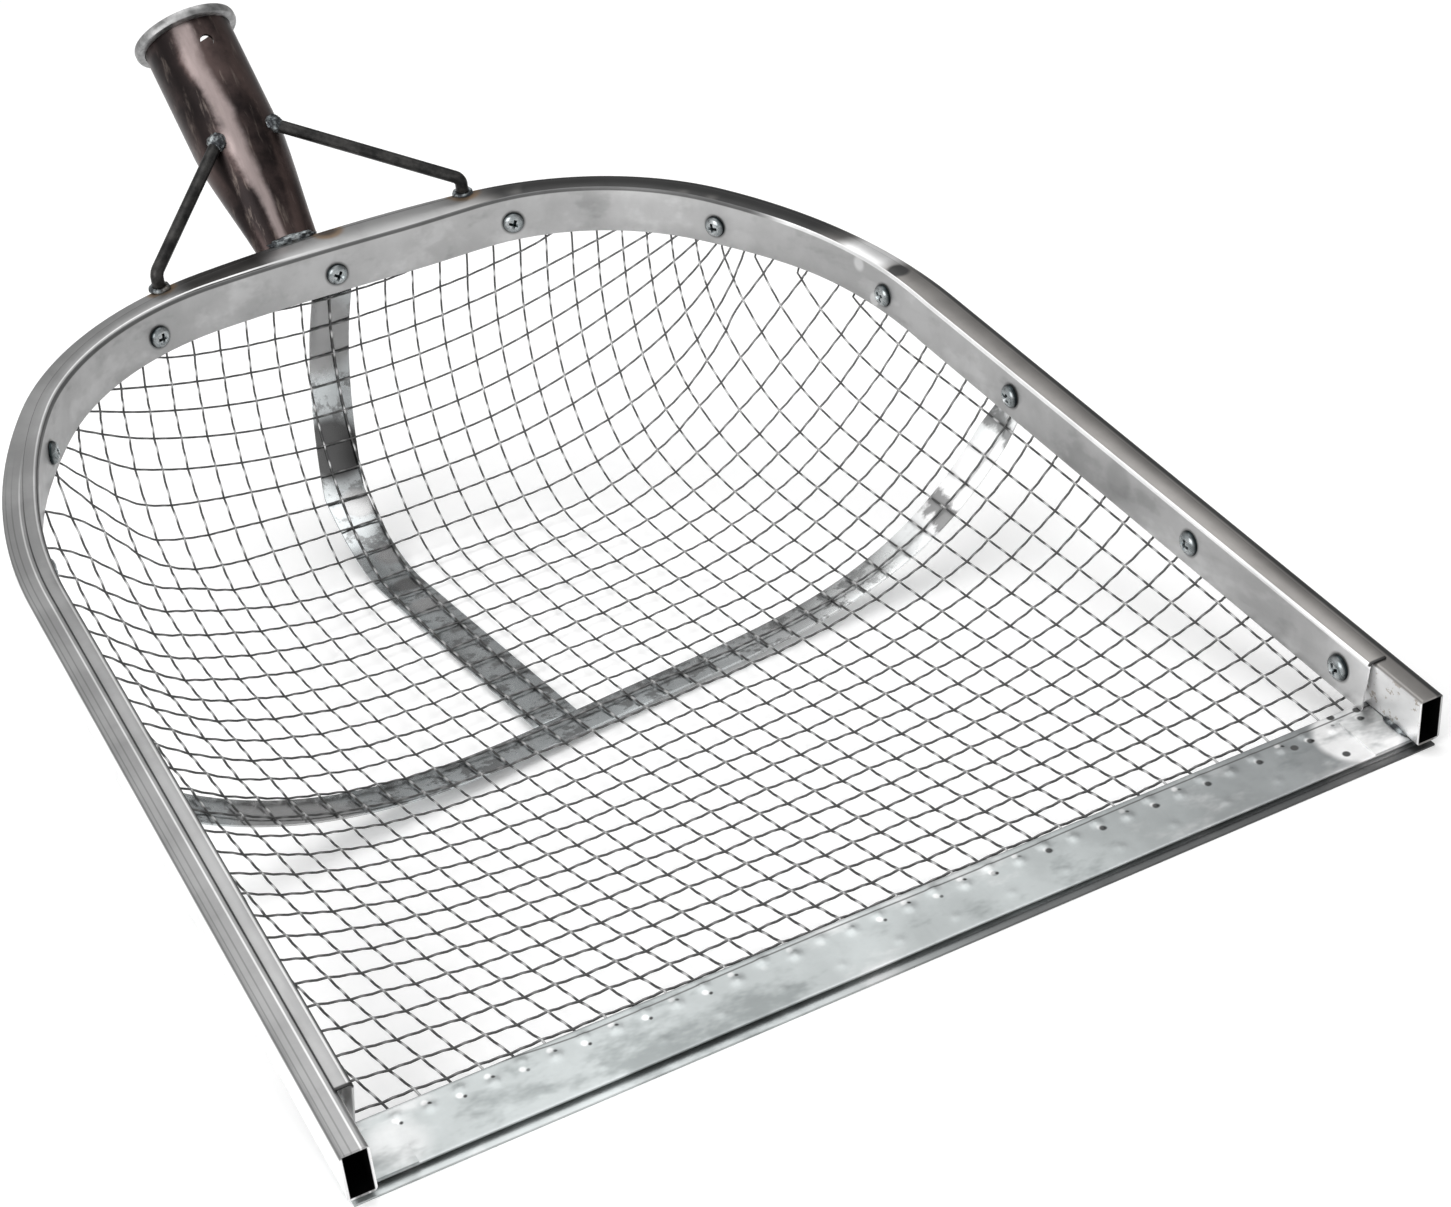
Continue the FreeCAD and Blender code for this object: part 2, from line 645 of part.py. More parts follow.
MOUTH = foot_point + AXIS * (TAPER + LONG)
upright = FreeCAD.Placement(foot_point, FreeCAD.Rotation(SIDE, ACROSS, AXIS, "ZXY"))
outer = socket_form(0.0)
outer.Placement = upright
socket = socket_form(0.0).cut(socket_form(size("socket_wall"), 2.0))
socket.Placement = upright
face_out = V(math.cos(foot_angle), math.sin(foot_angle), 0)
cope = Part.makeBox(4 * SR, 4 * TH, 8 * TH, V(-2 * SR, -4 * TH + size("socket_seat"), -4 * TH))
cope.Placement = FreeCAD.Placement(foot_point, FreeCAD.Rotation(V(0, 1, 0), face_out))
socket = socket.cut(cope)
socket = max(socket.Solids, key=lambda q: q.Volume)
turn = math.radians(size("lock_hole_turn"))
look = ACROSS * math.cos(turn) + SIDE * math.sin(turn)
hole_at = MOUTH - AXIS * size("lock_hole_place")
socket = socket.cut(Part.makeCylinder(size("lock_hole_radius"), SR + 5, hole_at, look))
feature("pole_socket", socket)

# Ring at the socket's mouth.
ring_in = SR + size("rim_play")
ring_out = size("rim_radius")
wide = size("rim_width")
cut = min(wide, ring_out - ring_in) * 0.3
section = [(0, ring_in), (0, ring_out - cut), (-cut, ring_out), (cut - wide, ring_out), (-wide, ring_out - cut),
           (-wide, ring_in)]
feature("socket_rim", turned(section, MOUTH, AXIS, ACROSS, 40))

# Braces: rods from the socket's sides to the tube's top face, bent down at the foot.
ROD = size("brace_radius")
clear = socket_form(-size("brace_seat"))
clear.Placement = upright
on_socket = foot_point + AXIS * size("brace_height")
share = size("brace_height") / TAPER if size("brace_height") < TAPER else 1.0
wide_there = size("socket_foot_half") + (SR - size("socket_foot_half")) * share


def rod_solid(pts, bend, radius, sides=10):
    """Rod of many flat sides along two straight runs joined by a bend at the middle point."""
    a, b, c = pts
    d1, d2 = (a - b), (c - b)
    d1.normalize()
    d2.normalize()
    half = math.acos(max(-1.0, min(1.0, d1.dot(d2)))) / 2
    back = bend / math.tan(half)
    p = b + d1 * back
    to_centre = d1 + d2
    to_centre.normalize()
    centre = b + to_centre * (bend / math.sin(half))
    flat = d1.cross(d2)
    flat.normalize()
    sweep = math.pi - 2 * half
    out = p - centre
    steps = 4
    points = [(a, out)]
    for i in range(steps + 1):
        t = sweep * i / steps
        arm = out * math.cos(t) + flat.cross(out) * (-math.sin(t))
        points.append((centre + arm, arm))
    points.append((c, points[-1][1]))
    rings = []
    for point, arm in points:
        arm = arm * (1.0 / arm.Length)
        rings.append([point + (arm * math.cos(2 * math.pi * k / sides) + flat * math.sin(2 * math.pi * k / sides))
                      * radius for k in range(sides)])
    return skinned(rings)


BEAD = size("bead_radius")
tube_solid = tube.Shape
top_edges = band(0.2, TW, 0)
band_solid = Part.Face(Part.Wire(Part.__sortEdges__([g.toShape() for g in top_edges])))
band_solid = band_solid.extrude(V(0, 0, 4 * BEAD))
brace_solids = []
for label, sign, foot_x in (("left", -1, size("brace_left_foot")), ("right", 1, size("brace_right_foot"))):
    # the foot stands on the outer part of the tube's top face
    x = sign * foot_x
    inset = size("brace_inset")
    reach_out = R3 - inset
    if abs(x) < reach_out * math.cos(A1 + A2):
        foot_y = C3.y + math.sqrt(reach_out ** 2 - x ** 2)
    else:
        foot_y = C2.y + math.sqrt(max(0.0, (R2 - inset) ** 2 - (abs(x) - C2.x) ** 2))
    down = V(x, foot_y, size("brace_seat"))
    elbow = V(x, foot_y, size("brace_leg"))
    round_there = math.radians(size("brace_round"))
    top = on_socket + (SIDE * (sign * math.cos(round_there)) + ACROSS * math.sin(round_there)) * (wide_there * 0.7)
    first = elbow - top
    first.normalize()
    rod = rod_solid([top, elbow, down], size("brace_bend"), ROD)
    rod = rod.cut(clear)
    rod = max(rod.Solids, key=lambda q: q.Volume)
    brace_solids.append(rod)
    feature("brace_" + label, rod)
    # ring of weld round the foot, and a blob where the rod meets the socket
    collar = [(0, ROD + 0.15), (0, ROD + BEAD), (BEAD * 1.3, ROD + 0.5), (BEAD * 1.3, ROD + 0.15)]
    foot_bead = turned(collar, V(x, foot_y, 0), V(0, 0, 1), V(1, 0, 0), 10)
    foot_bead = foot_bead.cut(strip.Shape).common(band_solid)
    feature("brace_%s_foot_weld" % label, max(foot_bead.Solids, key=lambda q: q.Volume))
    meet = outer.common(Part.makeCylinder(0.2, (elbow - top).Length, top, first))
    touch = top + first * max(first.dot(v.Point - top) for v in meet.Vertexes)
    collar = [(-BEAD, ROD + 0.15), (-BEAD, ROD + BEAD), (2 * BEAD, ROD + 0.6), (2 * BEAD, ROD + 0.15)]
    blob = turned(collar, touch, first, V(0, 0, 1), 10).cut(outer)
    feature("brace_%s_top_weld" % label, max(blob.Solids, key=lambda q: q.Volume))

# Weld between the socket's foot and the tube: a bead along the tube's upper back edge.
span = size("socket_foot_half") * 0.8
bead_line = polar(C3, R3, foot_angle)
along = V(-face_out.y, face_out.x, 0) * -1.0
bead_line = bead_line - face_out * 0.6 + V(0, 0, 0.9)
bead = Part.makeCylinder(BEAD, 2 * span, bead_line - along * span, along)
bead = bead.cut(tube_solid).cut(outer)
feature("socket_foot_weld", max(bead.Solids, key=lambda q: q.Volume))

# Weld under the joint of the two straps.
seam = []
for x in (spine_line(0) - HALF_WIDE * 0.8, spine_line(0) + HALF_WIDE * 0.8):
    p, n = under_bowl(x, strap_line(x) + HALF_WIDE + size("strap_joint_gap") / 2)
    seam.append(p - n * (THICK / 2))
run = seam[1] - seam[0]
bead = Part.makeCylinder(BEAD * 0.8, run.Length, seam[0], run)
upper = Part.makeBox(SWIDE * 2, 8 * BEAD, 4 * BEAD, V(-SWIDE, -4 * BEAD, 0))
upper.rotate(V(0, 0, 0), V(1, 0, 0), -math.degrees(SLOPE))
upper.translate((seam[0] + seam[1]) * 0.5)
bead = bead.cut(upper).cut(strap).cut(spine)
feature("strap_joint_weld", max(bead.Solids, key=lambda q: q.Volume))

# Short welds between the tubes' inner faces and the corner plates.
for label, sign in (("left", -1), ("right", 1)):
    base = V(sign * (HW - TW), 5.0, -TH + SHEET)
    bead = Part.makeCylinder(BEAD * 0.8, 14.0, base, V(0, 1, 0))
    keep_in = Part.makeBox(4 * BEAD, 40, 4 * BEAD, V(min(0, -sign * 4 * BEAD), -10, 0))
    keep_in.translate(base)
    feature("lip_weld_" + label, bead.common(keep_in))

# Screw holes in the tube's inner wall and in the strip's web.
for body in (tube, strip):
    before = body.Shape.Volume
    cutter = body.newObject("PartDesign::Boolean", "Drilled_" + body.Name)
    tool = doc.addObject("PartDesign::Body", "Drill_" + body.Name)
    base = tool.newObject("PartDesign::FeatureBase", "DrillBase_" + body.Name)
    base.BaseFeature = drill
    tool.BaseFeature = drill
    tool.Tip = base
    cutter.setObjects([tool])
    cutter.Type = "Cut"
    body.Tip = cutter
    doc.recompute()
    if not body.Shape.Volume < before - 10:
        raise RuntimeError("holes missing in " + body.Label)

# Rest: turn about x until the spine strap's lowest point is level with the lip's front edge.
front = V(0, 0, -TH - 2 * SHEET - size("lip_gap"))
under = [v.Point for v in spine.Vertexes]
lo, hi = 0.0, 60.0
for _ in range(50):
    mid = math.radians((lo + hi) / 2)
    level = min((p.y - front.y) * math.sin(mid) + (p.z - front.z) * math.cos(mid) for p in under)
    if level < 0:
        lo = (lo + hi) / 2
    else:
        hi = (lo + hi) / 2
tilt = FreeCAD.Placement(V(0, 0, 0), FreeCAD.Rotation(V(1, 0, 0), hi))
corners = []
for obj in pieces:
    for v in obj.Shape.tessellate(0.1)[0]:
        corners.append(tilt.multVec(v))
low = V(min(v.x for v in corners), min(v.y for v in corners), min(v.z for v in corners))
high = V(max(v.x for v in corners), max(v.y for v in corners), max(v.z for v in corners))
rest = FreeCAD.Placement(V(-(low.x + high.x) / 2, -(low.y + high.y) / 2, -low.z), tilt.Rotation)
for obj in pieces:
    obj.Placement = rest.multiply(obj.Placement)
doc.recompute()

for obj in doc.Objects:
    if "Invalid" in obj.State or "Error" in obj.State:
        raise RuntimeError("failed feature " + obj.Name)
for obj in pieces:
    if obj.Shape.isNull() or not obj.Shape.isValid():
        raise RuntimeError("bad shape " + obj.Label)

os.makedirs("parts", exist_ok=True)
for obj in pieces:
    obj.Shape.exportStep(os.path.join("parts", obj.Label + ".step"))

print("rest turn", round(hi, 3), "rest move", [round(c, 4) for c in rest.Base])
print("size", [round(c, 2) for c in (high - low)])
mid_bore = rest.multVec(MOUTH - AXIS * (LONG / 2))
print("socket bore at", [round(c / 1000, 6) for c in mid_bore],
      "axis", [round(c, 6) for c in tilt.Rotation.multVec(AXIS)])
print("cross wires", len(cross), "long wires", len(long_wires), "screws", len(screws))
for obj in pieces:
    facets = len(obj.Shape.tessellate(0.1)[1])
    print(obj.Label, "solids", len(obj.Shape.Solids), "volume", round(obj.Shape.Volume, 1), "facets", facets)
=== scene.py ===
from math import acos, asin, atan2, copysign, cos, exp, pi, radians, sin, sqrt, tan

import bpy
from mathutils import Matrix, Vector, kdtree, noise


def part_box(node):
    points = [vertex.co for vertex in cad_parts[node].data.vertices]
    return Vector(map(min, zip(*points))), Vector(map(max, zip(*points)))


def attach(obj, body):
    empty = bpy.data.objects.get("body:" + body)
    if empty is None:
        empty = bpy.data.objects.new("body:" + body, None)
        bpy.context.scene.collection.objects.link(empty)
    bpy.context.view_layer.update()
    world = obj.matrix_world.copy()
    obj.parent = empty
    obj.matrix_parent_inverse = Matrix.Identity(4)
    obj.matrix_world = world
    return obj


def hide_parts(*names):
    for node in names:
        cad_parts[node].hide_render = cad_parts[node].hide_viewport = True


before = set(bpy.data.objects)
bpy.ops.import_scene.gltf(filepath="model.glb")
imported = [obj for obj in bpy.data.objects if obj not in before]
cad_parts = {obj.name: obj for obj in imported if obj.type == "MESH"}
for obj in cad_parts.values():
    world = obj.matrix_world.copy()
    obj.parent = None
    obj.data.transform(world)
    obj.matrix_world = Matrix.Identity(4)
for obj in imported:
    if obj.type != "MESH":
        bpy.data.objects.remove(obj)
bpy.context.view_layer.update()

# A leaf skimmer net: U-shaped tube, clamp strip, woven wire bowl, two straps, front lip and a
# braced pole socket.  Pieces are modelled in millimetres as if the frame lay level, with x across,
# y from the lip to the back and z = 0 on the tube's top face.  seat() then tilts each one onto
# its lip and its spine strap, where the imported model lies, and turns it to metres.

MM = 0.001
TILT = radians(13.054)
tube_low, tube_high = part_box("frame_tube")
TUBE_WIDE, TUBE_HIGH, TUBE_WALL, TUBE_ROUND = 10, 20, 1, 1.7
REST = (Matrix.Translation((0, tube_low.y, tube_low.z + TUBE_HIGH * MM * cos(TILT)))
        @ Matrix.Rotation(TILT, 4, "X") @ Matrix.Scale(MM, 4))

# The bow: a straight rail, then three tangent arcs to the middle of the back, on each side.
HALF = tube_high.x * 1000
RAIL = 331.3
BEND_1, BEND_2 = radians(29.4), radians(54.1)
R1, R2 = 291, 137.5
R3 = ((HALF - R1 * (1 - cos(BEND_1)) - R2 * (cos(BEND_1) - cos(BEND_1 + BEND_2)))
      / cos(BEND_1 + BEND_2))


def ray(angle):
    return Vector((cos(angle), sin(angle), 0))


C1 = Vector((HALF - R1, RAIL, 0))
C2 = C1 + ray(BEND_1) * (R1 - R2)
C3 = C2 - ray(BEND_1 + BEND_2) * (R3 - R2)
BOW = [(C1, R1, 0, BEND_1), (C2, R2, BEND_1, BEND_1 + BEND_2),
       (C3, R3, BEND_1 + BEND_2, pi / 2)]
BACK = C3.y + R3

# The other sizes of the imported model, and the places of its pieces.
STRIP_GAP, STRIP_SHEET, STRIP_FLANGE, STRIP_START = 1.2, 0.8, 5.7, 26
LIP_DEEP, LIP_SHEET, LIP_GAP, LIP_SETBACK, LIP_SIDE = 30, 0.8, 1.6, 3.5, 1.5
DIMPLE_PITCH = 11
WIRE, CRIMP, WIRE_SEAT, WIRE_IN_LIP = 0.98, 0.40, 0.15, 20
RIM_INSET, RIM_Z = 12.3, -21.2
SLOT = TUBE_WIDE + STRIP_GAP / 2
HALF_STRAP, STRAP_THICK, STRAP_JOINT = 10, 1, 0.3
STRAP_AT, STRAP_SKEW, STRAP_SAG = 218, 25.7, 11.8
STRAP_TOPS = (-22, -14, -4)
SPINE_SIDE, SPINE_TOP, SPINE_SWING = 31, 7, 0.45
SCREW_DEEP, BOW_SCREW_DEEP = 10, 11.5
SCREW_SEAT = TUBE_WIDE + STRIP_GAP + STRIP_SHEET
HEAD, HEAD_TALL, SHANK, SHANK_LONG = 5.2, 3, 2.1, 10
SOCKET_SIDE, SOCKET_RISE, SOCKET_YAW = 20, radians(41), radians(4.5)
SOCKET_R, SOCKET_WALL, SOCKET_TAPER, SOCKET_MOUTH = 21.5, 1.5, 60, 124
FOOT_HALF, FOOT_HIGH, FOOT_SEAT = 14.5, 16, 0.3
HOLE, HOLE_DOWN, HOLE_TURN = 3.2, 17, radians(4)
RING_PLAY, RING_OUTER, RING_WIDE = 0.2, 25.4, 5
ROD, ROD_LEG, ROD_BEND = 3, 8, 4
ROD_INSET, ROD_SEAT = 2.2, 0.3
ROD_TOP, ROD_AROUND = 61, radians(50)
BEAD_RING, BEAD = ROD + 0.75, 1.25


def bow_spot(distance):
    """Point and outward direction on the outer face, from the rail's end along the bow."""
    for centre, radius, a, b in BOW:
        if distance <= radius * (b - a):
            t = a + distance / radius
            return centre + ray(t) * radius, ray(t)
        distance -= radius * (b - a)


def half_width(y, inset):
    """x of the outline at y, this far inside the outer face."""
    if y <= RAIL:
        return HALF - inset
    for centre, radius, a, b in BOW:
        radius -= inset
        if y <= centre.y + radius * sin(b) + 1e-9:
            return centre.x + radius * cos(asin(min(1, (y - centre.y) / radius)))


def arc_at(x, y):
    """Radius of the arc beside a point behind the rails, and the way from its centre."""
    for centre, radius, a, b in BOW:
        way = Vector((abs(x), y, 0)) - centre
        if way.x > 0 and atan2(way.y, way.x) <= b + 1e-6 or radius == R3:
            return radius, way


def outward(x, y):
    """Direction out of the bow's outline near a point inside it."""
    side = 1 if x > 0 else -1
    if y <= RAIL:
        return Vector((side, 0, 0))
    way = arc_at(x, y)[1].normalized()
    return Vector((way.x * side, way.y, 0))


def inset_at(p):
    """How far inside the bow's outline a point lies."""
    if p.y <= RAIL:
        return HALF - abs(p.x)
    radius, way = arc_at(p.x, p.y)
    return radius - way.to_2d().length


def clamp(value, low=0):
    return min(1, max(low, value))


def hump(s, centre, before, after):
    """1 at the centre, falling away over one length before it and another after it."""
    return exp(-((s - centre) / (before if s < centre else after)) ** 2)


def ramp(value, low, high):
    """0 below low and 1 above high, smooth between."""
    t = clamp((value - low) / (high - low))
    return t * t * (3 - 2 * t)


def stand_off(x, y):
    """How far in from its even place the hand-fitted strip lies: flange edge, bend, lower edge."""
    back = ramp(y, 400, 480)
    if x < 0:
        edge, top = 4.6 * (1 - 0.5 * back) * (1 - ramp(x, -100, 0)), 3.3
    else:
        edge, top = 0, 2 * hump(y, 320, 130, 45)
    behind = 1 + 7 * hump(x, 25, 110, 52)
    top += (behind - top) * back
    return edge, top, top + (2.2 if x > 0 else 2.2 - 4.7 * (1 - back))


def fitted(p):
    """A point of the strip, moved to where the strip lies as it was fitted by hand."""
    edge, top, low = stand_off(p.x, p.y)
    share = clamp((inset_at(p) - TUBE_WIDE / 2 + 0.6) / 5)
    drop = clamp(-p.z / TUBE_HIGH)
    way = (edge + (top - edge) * share) * (1 - drop) + low * drop
    return p - outward(p.x, p.y) * way - Vector((0, 0, 2 * drop * ramp(p.y, 400, 480)))


# ---- the bowl's surface
SLOPE = radians(14)
HEEL = 88
TURN = SLOPE + pi / 2
WIRE_Z = -TUBE_HIGH - LIP_SHEET - LIP_GAP / 2
FLOOR = Vector((0, cos(SLOPE), -sin(SLOPE)))
UP = Vector((0, sin(SLOPE), cos(SLOPE)))
BOWL_START = Vector((0, LIP_DEEP, WIRE_Z + CRIMP))
_reach = Vector((0, BACK - RIM_INSET, RIM_Z)) - BOWL_START
_corner = _reach.y / FLOOR.y
_tangent = HEEL * tan(TURN / 2)
S1 = _corner - _tangent
S2 = S1 + HEEL * TURN
S3 = S2 + (_reach.z - FLOOR.z * _corner) - _tangent
LAST_S = S3 - 0.3
SIDE_POWER, BACK_POWER, ROW_TURN = 3.6, 2.3, 0.68


def profile(s):
    """Middle line of the bowl: point and how far it has turned."""
    if s <= S1:
        return BOWL_START + FLOOR * s, 0
    t = min((s - S1) / HEEL, TURN)
    point = BOWL_START + FLOOR * (S1 + HEEL * sin(t)) + UP * (HEEL * (1 - cos(t)))
    return point + Vector((0, 0, max(0, s - S2))), t


def row(s):
    """A cross line of the bowl at s: its middle, climb, rise, half width and power."""
    foot, t = profile(s)
    a = pi / 2 - SLOPE + ROW_TURN * t
    climb = Vector((0, cos(a), sin(a)))
    rise = max(0, (RIM_Z - foot.z) / climb.z)
    width = max(3, half_width(min(foot.y + climb.y * rise, BACK - RIM_INSET - 0.01), RIM_INSET))
    return foot, climb, rise, width, SIDE_POWER + (BACK_POWER - SIDE_POWER) * t / TURN


def bowl(u, s):
    foot, climb, rise, width, power = row(s)
    return Vector((u * width, foot.y, foot.z)) + climb * (rise * abs(u) ** power)


def bowl_normal(u, s):
    du = bowl(min(1, u + 1e-3), s) - bowl(max(-1, u - 1e-3), s)
    ds = bowl(u, min(S3, s + 0.3)) - bowl(u, max(0, s - 0.3))
    return du.cross(ds).normalized()


# ---- modelling helpers
def hands_off():
    """Leaves edit mode with nothing selected."""
    if bpy.context.object and bpy.context.object.mode != "OBJECT":
        bpy.ops.object.mode_set(mode="OBJECT")
    bpy.ops.object.select_all(action="DESELECT")


def pick(piece):
    """Leaves edit mode and selects this piece alone."""
    hands_off()
    piece.select_set(True)
    bpy.context.view_layer.objects.active = piece


def begin(name, shape, **sizes):
    """A named primitive in edit mode, all of it selected."""
    hands_off()
    getattr(bpy.ops.mesh, "primitive_%s_add" % shape)(**sizes)
    piece = bpy.context.object
    piece.name = piece.data.name = name
    bpy.ops.object.mode_set(mode="EDIT")
    return piece


def added(name, data):
    """A new object in the scene."""
    thing = bpy.data.objects.new(name, data)
    bpy.context.scene.collection.objects.link(thing)
    return thing


def facing(spot, way):
    """The place at a spot whose z axis points along a way."""
    return Matrix.Translation(spot) @ way.to_track_quat("Z", "Y").to_matrix().to_4x4()


def select_all():
    bpy.ops.mesh.select_all(action="SELECT")


def resize(factors, **settings):
    bpy.ops.transform.resize(value=factors, **settings)


def move(step):
    bpy.ops.transform.translate(value=tuple(step))


def pull(step):
    bpy.ops.mesh.extrude_region_move(TRANSFORM_OT_translate={"value": tuple(step)})


def swing(centre, axis, angle, steps):
    """Spins what is selected, counter-clockwise about the axis."""
    bpy.ops.mesh.spin(steps=steps, angle=-angle, center=tuple(centre), axis=tuple(axis))


def chain(name, points):
    """Edges through points: one corner, pulled from point to point.  All is left selected."""
    piece = begin(name, "plane", size=1)
    bpy.ops.mesh.merge(type="CENTER")
    move(points[0])
    for a, b in zip(points, points[1:]):
        pull(b - a)
    select_all()
    return piece


def lathe(name, section, steps):
    """A section of (radius, height) points, spun all the way round z."""
    piece = chain(name, [Vector((r, 0, z)) for r, z in section])
    bpy.ops.mesh.remove_doubles(threshold=1e-4)
    swing((0, 0, 0), (0, 0, 1), 2 * pi, steps)
    outside_out()
    return piece


def follow_bow(start):
    """Carries what is selected from one open end round the bow to the other."""
    up = (0, 0, 1)
    pull((0, RAIL - start, 0))
    swing(C1, up, BEND_1, 18)
    swing(C2, up, BEND_2, 26)
    swing(C3, up, pi - 2 * (BEND_1 + BEND_2), 14)
    swing((-C2.x, C2.y, 0), up, BEND_2, 26)
    swing((-C1.x, C1.y, 0), up, BEND_1, 18)
    pull((0, start - RAIL, 0))
    outside_out()


def outside_out():
    """Merges corners that meet and turns every face outward."""
    select_all()
    bpy.ops.mesh.remove_doubles(threshold=1e-4)
    bpy.ops.mesh.normals_make_consistent(inside=False)


def finish_with(piece, kind, **settings):
    """Adds a modifier and applies it."""
    pick(piece)
    modifier = piece.modifiers.new(kind.title(), kind)
    for key, value in settings.items():
        setattr(modifier, key, value)
    bpy.ops.object.modifier_apply(modifier=modifier.name)


def cut_with(piece, cutter):
    """Takes the cutter's shape out of a piece."""
    finish_with(piece, "BOOLEAN", operation="DIFFERENCE", object=cutter, solver="EXACT")
    bpy.data.objects.remove(cutter)


def smooth(piece, angle=35):
    pick(piece)
    bpy.ops.object.shade_smooth_by_angle(angle=radians(angle))


def as_sheet(piece, thick, edge, sharp, angle, even=True):
    """Gives a flat or folded piece its thickness and rounds its sharp edges."""
    finish_with(piece, "SOLIDIFY", thickness=thick, offset=0, use_even_offset=even)
    finish_with(piece, "BEVEL", width=edge, segments=2, limit_method="ANGLE",
                angle_limit=radians(sharp))
    smooth(piece, angle)


def mark(piece, name, value):
    """Stores a number at each corner, for the finish to read."""
    layer = piece.data.attributes.new(name, "FLOAT", "POINT")
    for corner, entry in zip(piece.data.vertices, layer.data):
        entry.value = value(corner.co)


def seat(piece, material, node, place=Matrix.Identity(4)):
    """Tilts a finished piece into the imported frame, gives it its finish and lets it ride."""
    hands_off()
    piece.data.transform(REST @ place @ piece.matrix_world)
    piece.matrix_world = Matrix.Identity(4)
    piece.data.materials.clear()
    piece.data.materials.append(material)
    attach(piece, "root")
    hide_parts(node)


# ---- shader maths
class Value:
    """A shader socket that takes part in Python arithmetic."""

    def __init__(self, nodes, socket):
        self.nodes, self.socket = nodes, socket

    def _maths(self, operation, *terms):
        return self.nodes.node("Math", {"operation": operation}, dict(enumerate(terms)))

    def __add__(self, other): return self.by("ADD", other)
    def __sub__(self, other): return self.by("SUBTRACT", other)
    def __mul__(self, other): return self.by("MULTIPLY", other)
    def __truediv__(self, other): return self.by("DIVIDE", other)
    def __pow__(self, other): return self.by("POWER", other)
    def __radd__(self, other): return self._maths("ADD", other, self)
    def __rsub__(self, other): return self._maths("SUBTRACT", other, self)
    def __rmul__(self, other): return self._maths("MULTIPLY", other, self)

    def by(self, operation, *others):
        """A maths operation on this value, and on others if it takes more."""
        return self._maths(operation, self, *others)

    def rise(self, low, high):
        """0 below low and 1 above high, smooth between."""
        return self.nodes.node("MapRange", {"interpolation_type": "SMOOTHSTEP"},
                               {0: self, 1: low, 2: high, 3: 0, 4: 1})

    def fall(self, low, high):
        """1 below low and 0 above high, smooth between."""
        return 1 - self.rise(low, high)

    def line(self, half, soft):
        """1 within half of zero and 0 beyond soft, to both sides."""
        return self.by("ABSOLUTE").fall(half, soft)


class Nodes:
    """The node tree of a material or the world."""

    def __init__(self, owner):
        owner.use_nodes = True
        self.tree = owner.node_tree

    def feed(self, socket, value):
        if isinstance(value, Value):
            self.tree.links.new(value.socket, socket)
        elif isinstance(value, tuple) and len(value) == 3 and socket.type == "RGBA":
            socket.default_value = (*value, 1)
        else:
            socket.default_value = value

    def node(self, kind, settings, inputs, output=0):
        made = self.tree.nodes.new("ShaderNode" + kind)
        for key, value in settings.items():
            setattr(made, key, value)
        for key, value in inputs.items():
            self.feed(made.inputs[key], value)
        return Value(self, made.outputs[output])

    def seen(self):
        """1 where the camera itself looks."""
        return self.node("LightPath", {}, {}, "Is Camera Ray")


class Finish(Nodes):
    """One procedural material on a Principled shader."""

    def __init__(self, name, metallic):
        self.material = bpy.data.materials.new(name)
        super().__init__(self.material)
        self.set("Metallic", metallic)

    def set(self, socket, value):
        self.feed(self.tree.nodes["Principled BSDF"].inputs[socket], value)

    def done(self, colour, roughness):
        self.set("Base Color", colour)
        self.set("Roughness", roughness)
        return self.material

    def where(self):
        return self.node("TexCoord", {}, {}, "Object")

    def cloud(self, scale, detail, rough=0.55, stretch=(1, 1, 1), turn=(0, 0, 0)):
        at = self.node("Mapping", {},
                       {"Vector": self.where(), "Scale": stretch, "Rotation": turn})
        return self.node("TexNoise", {},
                         {"Vector": at, "Scale": scale, "Detail": detail, "Roughness": rough})

    def painted(self, name):
        """A number stored by mark()."""
        return self.node("Attribute", {"attribute_name": name}, {}, "Fac")

    def level(self):
        """x, y and z in millimetres on the level frame."""
        at = self.node("Mapping", {"vector_type": "TEXTURE"},
                       {"Vector": self.where(), "Location": tuple(REST.translation),
                        "Rotation": (TILT, 0, 0), "Scale": (MM, MM, MM)})
        split = self.tree.nodes.new("ShaderNodeSeparateXYZ")
        self.feed(split.inputs[0], at)
        return [Value(self, socket) for socket in split.outputs]

    def near(self, spot, radius):
        """1 at a spot on the level frame and 0 beyond the radius, both in millimetres."""
        apart = self.node("VectorMath", {"operation": "DISTANCE"},
                          {0: self.where(), 1: tuple(REST @ Vector(spot))}, "Value")
        return apart.fall(0, radius * MM)

    def blend(self, mask, a, b):
        return self.node("Mix", {"data_type": "RGBA"}, {0: mask, 6: a, 7: b}, 2)

    def layers(self, colour, *over):
        """A colour with (mask, colour) pairs laid over it in turn."""
        for mask, tone in over:
            colour = self.blend(mask, colour, tone)
        return colour

    def patches(self, colour, low, high, strength, *places):
        """A colour with a grey patch at each (spot, radius, tone)."""
        return self.layers(colour, *((self.near(spot, radius).rise(low, high) * strength,
                                      grey(tone)) for spot, radius, tone in places))

    def scaled(self, colour, factor):
        """A colour made lighter or darker by a factor that varies."""
        return self.node("VectorMath", {"operation": "SCALE"},
                         {0: colour, "Scale": factor}, "Vector")

    def bump(self, height, strength, distance=0.0004):
        self.set("Normal", self.node("Bump", {}, {"Height": height, "Strength": strength,
                                                  "Distance": distance}))


def brace_foot(side, from_middle):
    """Where a brace stands on the tube's top face."""
    x = side * from_middle
    return Vector((x, C3.y + sqrt((R3 - ROD_INSET) ** 2 - x * x), ROD_SEAT))


